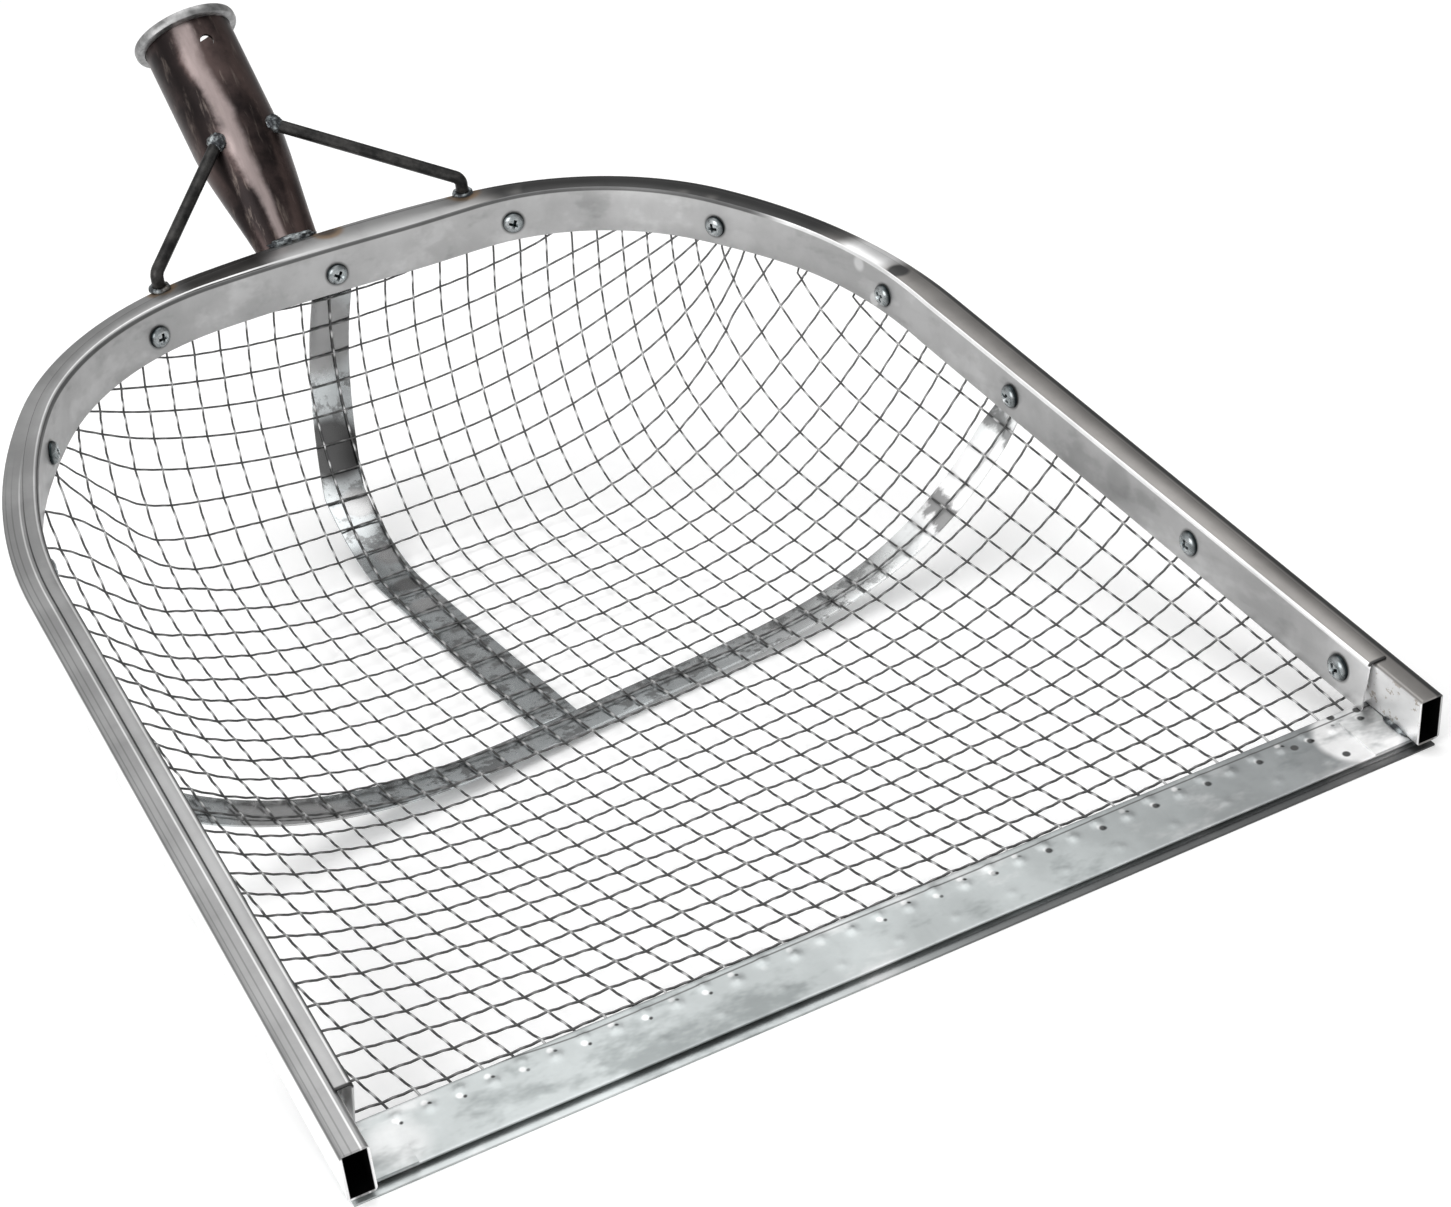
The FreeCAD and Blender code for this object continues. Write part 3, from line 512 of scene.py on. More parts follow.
LEFT_FOOT, RIGHT_FOOT = brace_foot(-1, 87), brace_foot(1, 65)
FOOT_ANGLE = pi / 2 + asin(SOCKET_SIDE / R3)
SOCKET_FOOT = C3 + ray(FOOT_ANGLE) * R3 + Vector((0, 0, -TUBE_HIGH / 2))
SIDEWAYS = Vector((cos(SOCKET_YAW), sin(SOCKET_YAW), 0))
ALONG = (Vector((-SIDEWAYS.y, SIDEWAYS.x, 0)) * cos(SOCKET_RISE)
         + Vector((0, 0, sin(SOCKET_RISE))))
ACROSS = SIDEWAYS.cross(ALONG)


# ---- finishes
def grey(tone, warm=0):
    return (tone * (1 + warm), tone, tone * (1 - warm))


def zinc(f, colour, roughness, wear=0.35):
    """Finishes a galvanised surface of this colour with clouds, scratches along y and specks."""
    clouds = f.cloud(24, 5, 0.6)
    streaks = f.cloud(90, 3, 0.6, stretch=(1, 0.12, 1))
    specks = f.cloud(420, 2, 0.7)
    shade = 0.86 + clouds.rise(0.35, 0.68) * 0.22 - streaks.rise(0.55, 0.8) * wear * 0.4
    f.bump(clouds * 0.5 + specks * 0.25, 0.12)
    return f.done(f.scaled(colour, shade),
                  roughness + (clouds - 0.5) * 0.25 + (streaks - 0.5) * 0.15)


def top_band(f, x, y):
    """Colour of the frame's upward face, tube and flange alike, with painted reflections of the
    room in the bent metal: a darker right side, dark patches, a white highlight patch and a dark
    spot.
    """
    blotch = f.cloud(38, 2, 0.5)
    dark_reflection_left = x.rise(-92, -72) * x.fall(-42, -24) * y.rise(480, 500)
    dark_reflection_right = x.rise(62, 82) * y.rise(385, 420)
    highlight_patch = x.rise(150, 170) * y.rise(362, 374) * y.fall(390, 402)
    colour = f.layers(f.blend(x.rise(40, 95), grey(0.36), grey(0.25, 0.04)),
                      (dark_reflection_left * blotch.rise(0.15, 0.35), grey(0.04, 0.04)),
                      (dark_reflection_right * blotch.rise(0.15, 0.4), grey(0.045)),
                      (highlight_patch, grey(1)),
                      (f.near((198.5, 361, 0), 9).rise(0.2, 0.6), grey(0.07)))
    # brown heat marks round dark ones where the rods and the socket were welded on
    for spot, radius in ((LEFT_FOOT, 12), (RIGHT_FOOT, 13),
                         (SOCKET_FOOT + Vector((17, -3, 10)), 12)):
        glow = f.near(spot, radius)
        colour = f.layers(colour, (glow.rise(0.1, 0.5) * 0.7, (0.26, 0.15, 0.06)),
                          (glow.rise(0.45, 0.9) * 0.8, (0.05, 0.04, 0.035)))
    return colour


def tube_finish():
    f = Finish("zinc_tube", 0.85)
    x, y, z = f.level()
    inset = f.painted("inset")
    right = x.rise(60, 100)
    # painted reflections: on the right the edge gets a painted dark reflection of the room, on the
    # left a painted glint between two thin painted dark lines
    dim = right * inset.fall(2.4, 3.4) * inset.rise(0.2, 0.7)
    colour = f.layers(top_band(f, x, y), (dim * y.fall(340, 372), grey(0.07)))
    left = (1 - right) * y.fall(380, 450)
    for depth, half, tone in ((1.8, 0.35, 0.22), (4.1, 0.4, 0.22), (7.3, 0.5, 0.85)):
        line = left * (inset - depth).line(half * 0.3, half)
        colour = f.layers(colour, (line * 0.8, grey(tone)))
    # painted light and shade: a painted shade line along the rounded outer rim, the outer face
    # painted white on the left where the window lights it and mid grey on the right, the inner
    # face painted white where the window lights it, with brown flecks, and the bore painted black
    # for the shade inside the tube
    rim = inset.fall(0.5, 0.9) * inset.rise(0.05, 0.3)
    outer = z.fall(-2, -0.9) * inset.fall(2, 3)
    inner = inset.rise(8.6, 9.6) * z.fall(-1.2, -0.4)
    flecks = f.cloud(260, 3, 0.7).rise(0.58, 0.66)
    bore_shade = (inset.rise(0.75, 0.95) * inset.fall(9.05, 9.25)
            * z.rise(-19.25, -19.05) * z.fall(-0.95, -0.75))
    colour = f.layers(colour, (rim * 0.6, grey(0.12)),
                      (outer, f.blend(x.rise(-60, 20), grey(1), grey(0.5))),
                      (inner, f.blend(flecks * 0.6, grey(1), (0.35, 0.27, 0.18))),
                      (bore_shade, grey(0.01)))
    return zinc(f, colour, 0.36)


def strip_finish():
    f = Finish("zinc_strip", 0.85)
    x, y, z = f.level()
    inset = f.painted("inset")
    smears = f.cloud(30, 4, 0.6, stretch=(1, 0.7, 1.6))
    web = f.patches(grey(0.50), 0.25, 0.6, 0.5, ((190, 182, -8), 17, 0.32))
    web = f.layers(web, (smears.rise(0.53, 0.66) * 0.28, grey(0.85)),
                   (smears.fall(0.34, 0.45) * 0.4, grey(0.26)))
    # painted highlights: white patches on the web
    web = f.patches(web, 0.25, 0.6, 0.6, ((179, 398, -5), 9, 1),
                    ((188, 383, -3.5), 8, 1), ((190, 371, -16.5), 6, 1))
    web = f.patches(web, 0.3, 0.6, 0.6, ((153, 459, -7), 8, 0.95))
    web = f.blend(y.rise(24, 60), grey(0.80), web)
    flat = z.rise(-0.9, -0.2)
    bend = z.rise(-1.5, -0.9) * inset.rise(11.12, 11.35)
    shining = x.rise(120, 150) * y.fall(425, 450)
    edge = inset.fall(4.45, 4.9) * (1 - shining * 0.6)
    glint = x.fall(-60, 0) * (inset - 10.3).line(0.25, 0.6)
    # painted light and shade: along the bend a painted dark line that turns into a painted white
    # highlight where the bend shines on the right, a painted shade line along the flange's edge
    # and a painted glint near the bend on the left; the flange takes the painted reflections of
    # top_band
    colour = f.layers(web, (flat, top_band(f, x, y)),
                      (bend, f.blend(shining, grey(0.13), grey(1))),
                      (edge, grey(0.10)), (glint * flat, grey(0.75)),
                      (y.fall(26.6, 27.4) * flat, grey(0.05)))
    # painted shade: a dark ring on the strip round each screw head
    screw_ring_shade = [(fitted(place - way * SCREW_SEAT), 7.8, 0.10) for place, way in screw_places()]
    return zinc(f, f.patches(colour, 0.06, 0.26, 0.7, *screw_ring_shade), 0.40)


def lip_finish():
    f = Finish("zinc_lip", 0.85)
    x, y, _ = f.level()
    colour = f.blend(x.rise(40, 190), (0.50, 0.53, 0.53), (0.33, 0.345, 0.35))
    # painted highlights: light patches at the lip's two corners
    colour = f.patches(colour, 0.15, 0.35, 1, ((186, 17, -20), 24, 1))
    colour = f.patches(colour, 0.2, 0.8, 0.6, ((-187, 14, -20), 20, 0.80))
    smears = f.cloud(26, 5, 0.65, stretch=(0.6, 1, 1), turn=(0, 0, 0.5))
    # small bumps where wires cross between the plates, each with a painted highlight on its lit
    # side and a painted dark shade spot beside it
    column = (x - column_place(0, 0)) / DIMPLE_PITCH
    swing_by = (column * pi).by("COSINE") * 1.6
    across = ((column + 0.5).by("FRACT") - 0.5) * DIMPLE_PITCH
    behind = y - 24.4 - swing_by
    fades = f.cloud(55, 1).rise(0.35, 0.6)

    def spot(sideways, lengthways, low, high):
        return ((sideways ** 2 + lengthways ** 2) ** 0.5).fall(low, high)

    bump_highlight = spot(across + 0.6, behind - 0.2, 0.5, 1.7)
    bump_shade = spot(across - 0.9, behind + 0.9, 0.3, 1)
    dot = spot(across, y - 22.3, 0.8, 1.7) * swing_by.fall(-1.3, -0.5) * x.rise(15, 60)
    # painted shadow: a dark band over the strip of lower plate in front of the upper plate's edge
    front = y.fall(2.7, 3.6) * x.rise(-60, 40)
    # painted shade along the groove of the folded edge by the mesh
    wavy = y - 27.5 + (x * 0.045).by("SINE") * 0.35 - x.fall(-162, -112) * 3.5
    fold_shade = wavy.line(0.15, 0.55) * x.rise(-166, -158)
    colour = f.layers(colour, (smears.rise(0.52, 0.66) * 0.55, grey(0.85)),
                      (smears.fall(0.34, 0.46) * 0.6, (0.19, 0.21, 0.21)),
                      (bump_highlight * (0.15 + fades * 0.7), grey(0.9)), (bump_shade * fades, grey(0.06)),
                      (dot * 0.9, grey(0.03)), (front * 0.85, grey(0.05)),
                      (fold_shade * 0.85, grey(0.13)))
    pits = [((px, py, -20), 2.6, 0.10)
            for px, py in ((183.1, 29), (162.2, 22.2), (193.6, 27.6), (175.5, 9.8))]
    return zinc(f, f.patches(colour, 0.2, 0.6, 1, *pits), 0.38, wear=0.15)


def strap_finish():
    f = Finish("strap_steel", 0.9)
    x, _, z = f.level()
    mottles = f.cloud(105, 4, 0.65).rise(0.50, 0.60) * (1 - x.rise(100, 140) * 0.8)
    # painted reflection: the strap is painted lighter towards its right end
    colour = f.layers(f.blend(x.rise(5, 125), (0.64, 0.675, 0.685), (0.90, 0.92, 0.92)),
                      (mottles * 0.7, grey(0.15)))
    # painted reflections: light and dark patches along the spine strap and on the cross strap, and
    # a white patch at its right end
    colour = f.patches(
        colour, 0.15, 0.55, 1, ((-20, 533, -45), 34, 0.38),
        ((-28, 511, -94), 26, 0.035), ((-27, 488, -112), 13, 0.60),
        ((-25, 455, -121), 13, 0.50), ((-28, 425, -122), 13, 0.25),
        ((-30, 396, -113), 15, 0.60), ((168, 258, -45), 40, 1),
        ((-150, 208, -50), 45, 0.60))
    # across the painted bright right end run two dark lines
    ragged = f.cloud(130, 3, 0.6)
    for height, half in ((-53, 3.2), (-27, 4.5)):
        dark_line = (z - height + (ragged - 0.5) * 9).line(half * 0.4, half)
        colour = f.layers(colour, (dark_line * x.rise(120, 135) * 0.75, grey(0.06)))
    edge = f.cloud(20, 2).rise(0.4, 0.62) * x.fall(90, 140)
    # the right end is made less metallic so that its painted light shows
    f.set("Metallic", 0.9 - x.rise(120, 150) * 0.7)
    return zinc(f, f.layers(colour, (edge * 0.35, grey(0.26))), 0.24)


def wire_finish(name, low, high):
    """Dark steel with a painted highlight where a wire passes over the ones that cross it."""
    f = Finish(name, 0.7)
    streaks = f.cloud(160, 3)
    colour = f.blend(f.painted("crest").rise(-0.1, 0.85), grey(low), grey(high))
    return f.done(f.scaled(colour, 0.75 + streaks * 0.5), 0.32 + streaks * 0.2)


def clouded(name, metallic, cloud, low, high, dark, light):
    """A finish, its clouds and a colour that goes from dark to light with them."""
    f = Finish(name, metallic)
    clouds = f.cloud(*cloud)
    return f, clouds, f.blend(clouds.rise(low, high), dark, light)


def socket_finish():
    """Dark steel with scratches, and with a painted highlight streak, a fainter painted light band
    and a painted dark band that run from the foot to the mouth.
    """
    f, clouds, colour = clouded("socket_steel", 0.9, (38, 6, 0.62), 0.32, 0.7,
                                (0.016, 0.012, 0.012), (0.085, 0.060, 0.056))
    scratches = f.cloud(60, 5, 0.6, stretch=(6, 1, 1))
    shift = f.painted("around") + (clouds - 0.5) * 0.5
    highlight_streak = (shift + 0.34).line(0.05, 0.30) * (0.55 + scratches * 0.5)
    f.bump(scratches * 0.6 + clouds * 0.5, 0.16, 0.0005)
    return f.done(f.layers(colour, (highlight_streak, (0.40, 0.33, 0.32)),
                           ((shift - 0.62).line(0.08, 0.30) * 0.35, (0.16, 0.11, 0.10)),
                           ((shift + 0.85).line(0.12, 0.32) * 0.85, (0.012, 0.009, 0.009)),
                           (scratches.rise(0.55, 0.75) * 0.35, (0.30, 0.25, 0.22))),
                  0.24 + clouds * 0.2)


def ring_finish():
    f, clouds, colour = clouded("ring_steel", 0.9, (120, 4, 0.6), 0.3, 0.7,
                                grey(0.16), grey(0.42))
    return f.done(colour, 0.30 + clouds * 0.15)


def rod_finish():
    f, clouds, colour = clouded("rod_steel", 0.75, (110, 5, 0.65), 0.35, 0.7,
                                grey(0.012), (0.055, 0.053, 0.051))
    f.bump(clouds, 0.2)
    return f.done(colour, 0.30 + clouds * 0.2)


def screw_finish():
    f, clouds, colour = clouded("screw_zinc", 1, (300, 2), 0.3, 0.7,
                                (0.42, 0.46, 0.47), (0.66, 0.69, 0.70))
    return f.done(f.blend(f.painted("shade"), colour, (0.018, 0.024, 0.026)),
                  0.20 + clouds * 0.10)


def weld_finish():
    f, lumps, colour = clouded("weld_bead", 0.8, (260, 4, 0.6), 0.42, 0.68,
                               (0.035, 0.038, 0.042), (0.34, 0.37, 0.38))
    tint = f.cloud(90, 2)
    f.bump(lumps, 0.5, 0.0006)
    return f.done(f.blend(tint.rise(0.58, 0.75) * 0.5, colour, (0.13, 0.08, 0.04)),
                  0.28 + tint * 0.2)


# ---- frame tube and clamp strip
def frame_tube():
    piece = begin("bent_tube", "plane", size=1)
    resize((TUBE_WIDE, TUBE_HIGH, 1))
    bpy.ops.transform.rotate(value=pi / 2, orient_axis="X", center_override=(0, 0, 0))
    move((HALF - TUBE_WIDE / 2, 0, -TUBE_HIGH / 2))
    bpy.ops.mesh.bevel(offset=TUBE_ROUND, segments=5, affect="VERTICES")
    select_all()
    bpy.ops.mesh.inset(thickness=TUBE_WALL)
    bpy.ops.mesh.delete(type="ONLY_FACE")
    select_all()
    follow_bow(0)
    smooth(piece)
    mark(piece, "inset", inset_at)
    seat(piece, tube_finish(), "frame_tube")


def clamp_strip():
    """The strip is folded and bent evenly, marked, and only then moved to where it was fitted."""
    web = HALF - TUBE_WIDE - STRIP_GAP - STRIP_SHEET / 2
    edge = web + STRIP_GAP + STRIP_SHEET / 2 + STRIP_FLANGE - 0.1
    top = STRIP_SHEET / 2
    section = [(web, -19.7), (web, -13), (web, -7), (web, -0.9), (web + 0.25, -0.1),
               (web + 1.1, top), (edge, top)]
    piece = chain("clamp_strip_bent", [Vector((x, STRIP_START, z)) for x, z in section])
    follow_bow(STRIP_START)
    as_sheet(piece, STRIP_SHEET, 0.18, 50, 40)
    mark(piece, "inset", inset_at)
    for corner in piece.data.vertices:
        corner.co = fitted(corner.co)
    seat(piece, strip_finish(), "clamp_strip")


# ---- woven wire
# The sheet was stretched as it was pressed, so its rows stand further apart over the floor's rear
# part, and they fall away there towards both sides, more so on the left.  The lengthwise wires
# drift sideways between lip and back and crowd together at the sides.
ROWS, COLUMNS = 34, 17
row_starts = [2.1]
while len(row_starts) < ROWS:
    row_starts.append(row_starts[-1] + 13.85 + 10.95 * hump(row_starts[-1], 398, 207, 42))


def row_place(j, u):
    """s of cross wire j at the share u of the half width."""
    s = row_starts[j]
    skew = 16.6 * hump(s, 251, 135, 135)
    sag = 21.6 * hump(s, 450, 475, 15) - 12.7
    fall = (108.5 if u < 0 else 42.3) * hump(s, 463, 163, 36)
    share = abs(u) ** 3.85 - (0.30 * ramp(-u, 0.78, 1))
    return max(0, s + skew * u - sag * u * u - fall * share)


def column_place(i, s):
    """x of lengthwise wire i at s."""
    n, side = s / S3, i / COLUMNS
    return (4.2 - 73.3 * n + 74 * n * n + (186.5 + 84.6 * n - 31 * n * n) * side
            - 11.4 * (n * side) ** 2 - 54.1 * n * n * side ** 3)


def half_row(j, side):
    """Points (x, s) of cross wire j from the middle to the rim on one side."""
    path, step = [(0, row_place(j, 0))], None
    for k in range(1, 301):
        last = path[-1]
        if not step:
            u = side * k / 200
            s = row_place(j, u)
            x = u * row(min(s, S3))[3]
            # where the surface closes in faster than the row gets on, it goes straight on
            if side * (x - last[0]) < 0.3 and len(path) > 2:
                step = (last[0] - path[-2][0], last[1] - path[-2][1])
        if step:
            x, s = last[0] + step[0], last[1] + step[1]
        if s > LAST_S or abs(x) > row(s)[3]:
            break
        path.append((x, s))
    return path


def at_step(path, place):
    """(x, s) a whole or part number of steps along a path."""
    k = min(int(place), len(path) - 2)
    (x, s), (x2, s2), t = path[k], path[k + 1], place - k
    return x + (x2 - x) * t, s + (s2 - s) * t


def crossings(path):
    """{i: place along the path} where a cross wire meets the lengthwise wires."""
    found = {}
    gaps = [[column_place(i, s) - x for i in range(-COLUMNS, COLUMNS + 1)] for x, s in path]
    for k in range(len(path) - 1):
        for i, (before, after) in enumerate(zip(gaps[k], gaps[k + 1])):
            if before > 0 >= after:
                found.setdefault(i - COLUMNS, k + before / (before - after))
    return found


def to_rim(i, s):
    """Stations of lengthwise wire i from s on to the rim."""
    stations = []
    while s < LAST_S:
        s = min(LAST_S, s + 3)
        x = column_place(i, s)
        if abs(x) >= 0.995 * row(s)[3]:
            break
        stations.append((x, s))
    return stations


def tuck(point):
    """A wire's last stretch, to the rim, round the strip's lower edge and up into the slot."""
    way = outward(point.x, point.y)
    inset = inset_at(point)
    return [(Vector((point.x, point.y, RIM_Z + up)) + way * (inset - depth), 0)
            for depth, up in ((RIM_INSET, 0), (11.5, 0.4), (SLOT, 2.4), (SLOT, 9))]


def on_bowl(x, s, lift):
    u = clamp(x / row(s)[3], -1)
    return bowl(u, s) + bowl_normal(u, s) * lift


def woven(path, places, first_up):
    """(point, crest) along a path, over and under in turn between places, in a zigzag crimp."""
    points = []
    for k, (a, b) in enumerate(zip(places, places[1:])):
        side = 1 if (k + first_up) % 2 == 0 else -1
        for step in range(6):
            t = step / 6
            lift = side * (0.5 * cos(pi * t) + 0.5 * cos(3 * pi * t))
            point = on_bowl(*at_step(path, a + (b - a) * t), CRIMP * lift)
            points.append((point, side * cos(3 * pi * t)))
    return points


def wires(name, paths, finish, node):
    """One round wire along each path, marked with how far it stands up."""
    corners, edges = [], []
    for path in paths:
        edges += [(len(corners) + k, len(corners) + k + 1) for k in range(len(path) - 1)]
        corners += [tuple(p) for p, crest in path]
    mesh = bpy.data.meshes.new(name)
    mesh.from_pydata(corners, edges, [])
    piece = added(name, mesh)
    pick(piece)
    bpy.ops.object.convert(target="CURVE")
    piece.data.bevel_depth = WIRE / 2
    piece.data.bevel_resolution = 1
    piece.data.use_fill_caps = True
    bpy.ops.object.convert(target="MESH")
    smooth(piece, 80)
    middles = kdtree.KDTree(len(corners))
    for k, corner in enumerate(corners):
        middles.insert(corner, k)
    middles.balance()
    crests = [crest for path in paths for p, crest in path]
    mark(piece, "crest", lambda place: crests[middles.find(place)[1]])
    seat(piece, finish, node)


def wire_bowl():
    rows, across, along = [], [], []
    for j in range(ROWS):
        line = half_row(j, -1)[:0:-1] + half_row(j, 1)
        found = crossings(line)
        rows.append({i: at_step(line, place) for i, place in found.items()})
        order = sorted(found)
        if len(order) < 2:
            continue
        places = [0] + [found[i] for i in order] + [len(line) - 1]
        path = woven(line, places, (order[0] + j + 1) % 2)
        path.append((on_bowl(*line[-1], 0), 0))
        across.append(tuck(path[0][0])[::-1] + path + tuck(path[-1][0]))
    for i in range(-COLUMNS, COLUMNS + 1):
        order = [j for j in range(ROWS) if i in rows[j]]
        if len(order) < 2:
            continue
        stations = [rows[j][i] for j in order]
        path = woven(stations, range(len(stations)), (i + order[0]) % 2)
        side = CRIMP if (i + order[-1]) % 2 == 0 else -CRIMP
        tail = stations[-1:] + to_rim(i, stations[-1][1])
        path += [(on_bowl(x, s, side * (1 - k / len(tail))), 0)
                 for k, (x, s) in enumerate(tail)]
        path += tuck(path[-1][0])
        # the near end lies straight between the plates
        front = Vector((column_place(i, 0), LIP_DEEP - WIRE_IN_LIP, WIRE_Z))
        along.append([(front, 0), (front + Vector((0, 18, 0)), 0)] + path)
    wires("woven_cross_wires", across, wire_finish("cross_wire_steel", 0.10, 0.22),
          "mesh_cross_wires")
    wires("woven_long_wires", along, wire_finish("long_wire_steel", 0.08, 0.58),
          "mesh_long_wires")


# ---- straps
UNDER = CRIMP + WIRE / 2 + WIRE_SEAT + STRAP_THICK / 2
TOP_TURN = pi / 2 + asin(SPINE_TOP / (R3 - SLOT))


def under_bowl(x, s):
    """The middle of a strap's thickness under the wires at (x, s)."""
    u = x / row(s)[3]
    return bowl(u, s) - bowl_normal(u, s) * UNDER


def strap_line(x):
    """Where the cross strap's middle runs along the floor at x."""
    share = x / (HALF - SLOT)
    return STRAP_AT + STRAP_SKEW * share - STRAP_SAG * share * share


def strap_end(side, z):
    """The cross strap's middle at height z in the slot on one side."""
    foot, climb = row(strap_line(side * (HALF - SLOT)))[:2]
    return Vector((side * (HALF - SLOT), foot.y, foot.z)) + climb * ((z - foot.z) / climb.z)


def spine_line(s):
    """x of the spine strap's middle at s."""
    begins = S1 + (S2 - S1) * SPINE_SWING
    share = clamp((s - begins) / (S2 + 13 - begins))
    return -SPINE_SIDE + (SPINE_SIDE - SPINE_TOP) * share


def strip_of(name, pairs, finish, node):
    """A flat strip between two edges, given as pairs of points."""
    piece, step = chain(name, [a for a, b in pairs]), Vector((0, 0, 1))
    pull(step)
    bpy.ops.object.mode_set(mode="OBJECT")
    for corner in piece.data.vertices:
        for a, b in pairs:
            if (corner.co - a - step).length < 0.05:
                corner.co = b
                break
    bpy.ops.object.mode_set(mode="EDIT")
    outside_out()
    as_sheet(piece, STRAP_THICK, 0.22, 50, 50)
    seat(piece, finish, node)


def straps():
    finish, edges = strap_finish(), (-HALF_STRAP, HALF_STRAP)
    pairs, steps = [], 36
    for k in range(-steps, steps + 1):
        x = 0.955 * abs(k / steps) ** 0.85 * copysign(row(STRAP_AT)[3], k)
        pairs.append([under_bowl(x, strap_line(x) + way) for way in edges])
    for side in (-1, 1):
        ends = [strap_end(side, z) for z in STRAP_TOPS]
        ends = [(p - FLOOR * HALF_STRAP, p + FLOOR * HALF_STRAP) for p in ends]
        pairs = pairs + ends if side > 0 else ends[::-1] + pairs
    strip_of("cross_strap_bent", pairs, finish, "cross_strap")

    # the spine strap starts askew, along the cross strap's edge, and ends in the slot
    pairs, steps = [], 70
    start = strap_line(-SPINE_SIDE) + HALF_STRAP + STRAP_JOINT
    slot = C3 + ray(TOP_TURN) * (R3 - SLOT)
    for k in range(steps + 1):
        s = start + (S2 - start) * k / steps
        x = spine_line(s)
        skew = max(0, 1 - k / 12)
        a, b = (under_bowl(x + way, s + skew * (strap_line(x + way) - strap_line(x)))
                for way in edges)
        if max(a.y, b.y) < slot.y - 0.3 or a.z < -TUBE_HIGH - 20:
            pairs.append((a, b))
    way = ray(TOP_TURN - pi / 2) * HALF_STRAP
    pairs += [(slot + Vector((0, 0, z)) - way, slot + Vector((0, 0, z)) + way)
              for z in STRAP_TOPS]
    strip_of("spine_strap_bent", pairs, finish, "spine_strap")


# ---- front lip
def dimple_height(x, y):
    """Small bumps where wires cross between the plates."""
    height = 0
    i = round((x - column_place(0, 0)) / DIMPLE_PITCH)
    for k in (i - 1, i, i + 1):
        across = x - column_place(k, 0)
        behind = y - (24.6 + (1.4 if k % 2 else -1.4) + 0.5 * sin(k * 2.3))
        height += 0.55 * exp(-((across / 1.5) ** 2 + (behind / 1.6) ** 2))
        if k % 2:
            height += 0.22 * exp(-((across / 1.3) ** 2 + ((y - 11) / 1.4) ** 2))
    return height


def lip_plate(name, front, top, finish, node, bumps):
    """A thin plate with a slightly wavy front edge, on a fine grid where it has bumps."""
    wide, deep = 2 * (HALF - LIP_SIDE), LIP_DEEP - front
    columns, rows = (300, 24) if bumps else (120, 6)
    piece = begin(name, "grid", size=1, x_subdivisions=columns, y_subdivisions=rows)
    resize((wide, deep, 1))
    move((0, front + deep / 2, top - LIP_SHEET / 2))
    hands_off()
    for corner in piece.data.vertices:
        x, y = corner.co.x, corner.co.y
        share = (LIP_DEEP - y) / deep
        wave = noise.noise(Vector((x * 0.02, 0.3 if bumps else 7.7, 0))) * 0.5
        inside = clamp((HALF - 14 - abs(x)) / 12)
        corner.co.z += inside * share * share * (wave * 0.5 if bumps else abs(wave) * 0.35)
        if bumps:
            corner.co.z += inside * dimple_height(x, y)
    as_sheet(piece, LIP_SHEET, 0.15, 60, 50, even=False)
    seat(piece, finish, node)


def front_lip():
    finish = lip_finish()
    lip_plate("upper_lip_plate", LIP_SETBACK, -TUBE_HIGH, finish, "lip_top_plate", True)
    lip_plate("lower_lip_plate", 0, -TUBE_HIGH - LIP_SHEET - LIP_GAP, finish,
              "lip_bottom_plate", False)
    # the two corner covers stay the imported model's own
    for kept in ("lip_end_plate_left", "lip_end_plate_right"):
        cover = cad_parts[kept]
        cover.data.materials.clear()
        cover.data.materials.append(finish)


# ---- screws
def screw_places():
    """Point on the outer face at the screw's height, and the direction outward."""
    beside_strap = {1: strap_end(1, -SCREW_DEEP).y - 11, -1: strap_end(-1, -SCREW_DEEP).y}
    bow_deep = Vector((0, 0, -BOW_SCREW_DEEP))
    places = []
    for side, round_bow in ((1, (35, 147, 259.5)), (-1, (37, 132, 243))):
        spots = [(Vector((HALF, y, -SCREW_DEEP)), Vector((1, 0, 0)))
                 for y in (41, 133.5, beside_strap[side])]
        spots += [(p + bow_deep, way) for p, way in map(bow_spot, round_bow)]
        flip = Matrix.Diagonal((side, 1, 1))
        places += [(flip @ p, flip @ way) for p, way in spots]
    return places + [(C3 + ray(TOP_TURN) * R3 + bow_deep, ray(TOP_TURN))]


def one_screw():
    """A pan head with a cross recess, its axis on z and its seat at z = 0, head up."""
    dome = ((0, 1), (0.35, 0.985), (0.65, 0.88), (0.88, 0.62), (0.985, 0.30))
    section = [(HEAD * r, HEAD_TALL * h) for r, h in dome]
    section += [(HEAD, 0.15), (HEAD * 0.98, 0), (SHANK, 0), (SHANK, -SHANK_LONG), (0, -SHANK_LONG)]
    piece = lathe("screw", section, 28)
    middle = HEAD_TALL - 0.75
    for turn in (0, pi / 2):
        cutter = begin("recess", "cube", size=1)
        resize((HEAD * 1.15, HEAD * 0.30, 1.9))
        move((0, 0, middle))
        hands_off()
        for corner in cutter.data.vertices:
            if corner.co.z < middle:
                corner.co.x *= 0.35
                corner.co.y *= 0.6
        cutter.data.transform(Matrix.Rotation(turn, 4, "Z"))
        cut_with(piece, cutter)
    smooth(piece, 30)

    def shade(p):
        """1 in the recess and round the head's foot, and darker outward over the top."""
        far = p.xy.length
        if far > HEAD * 0.92 or p.z < 0.1 or far < HEAD * 0.62 and p.z < HEAD_TALL * 0.8:
            return 1
        return 0.75 * (far / HEAD) ** 2

    mark(piece, "shade", shade)
    return piece


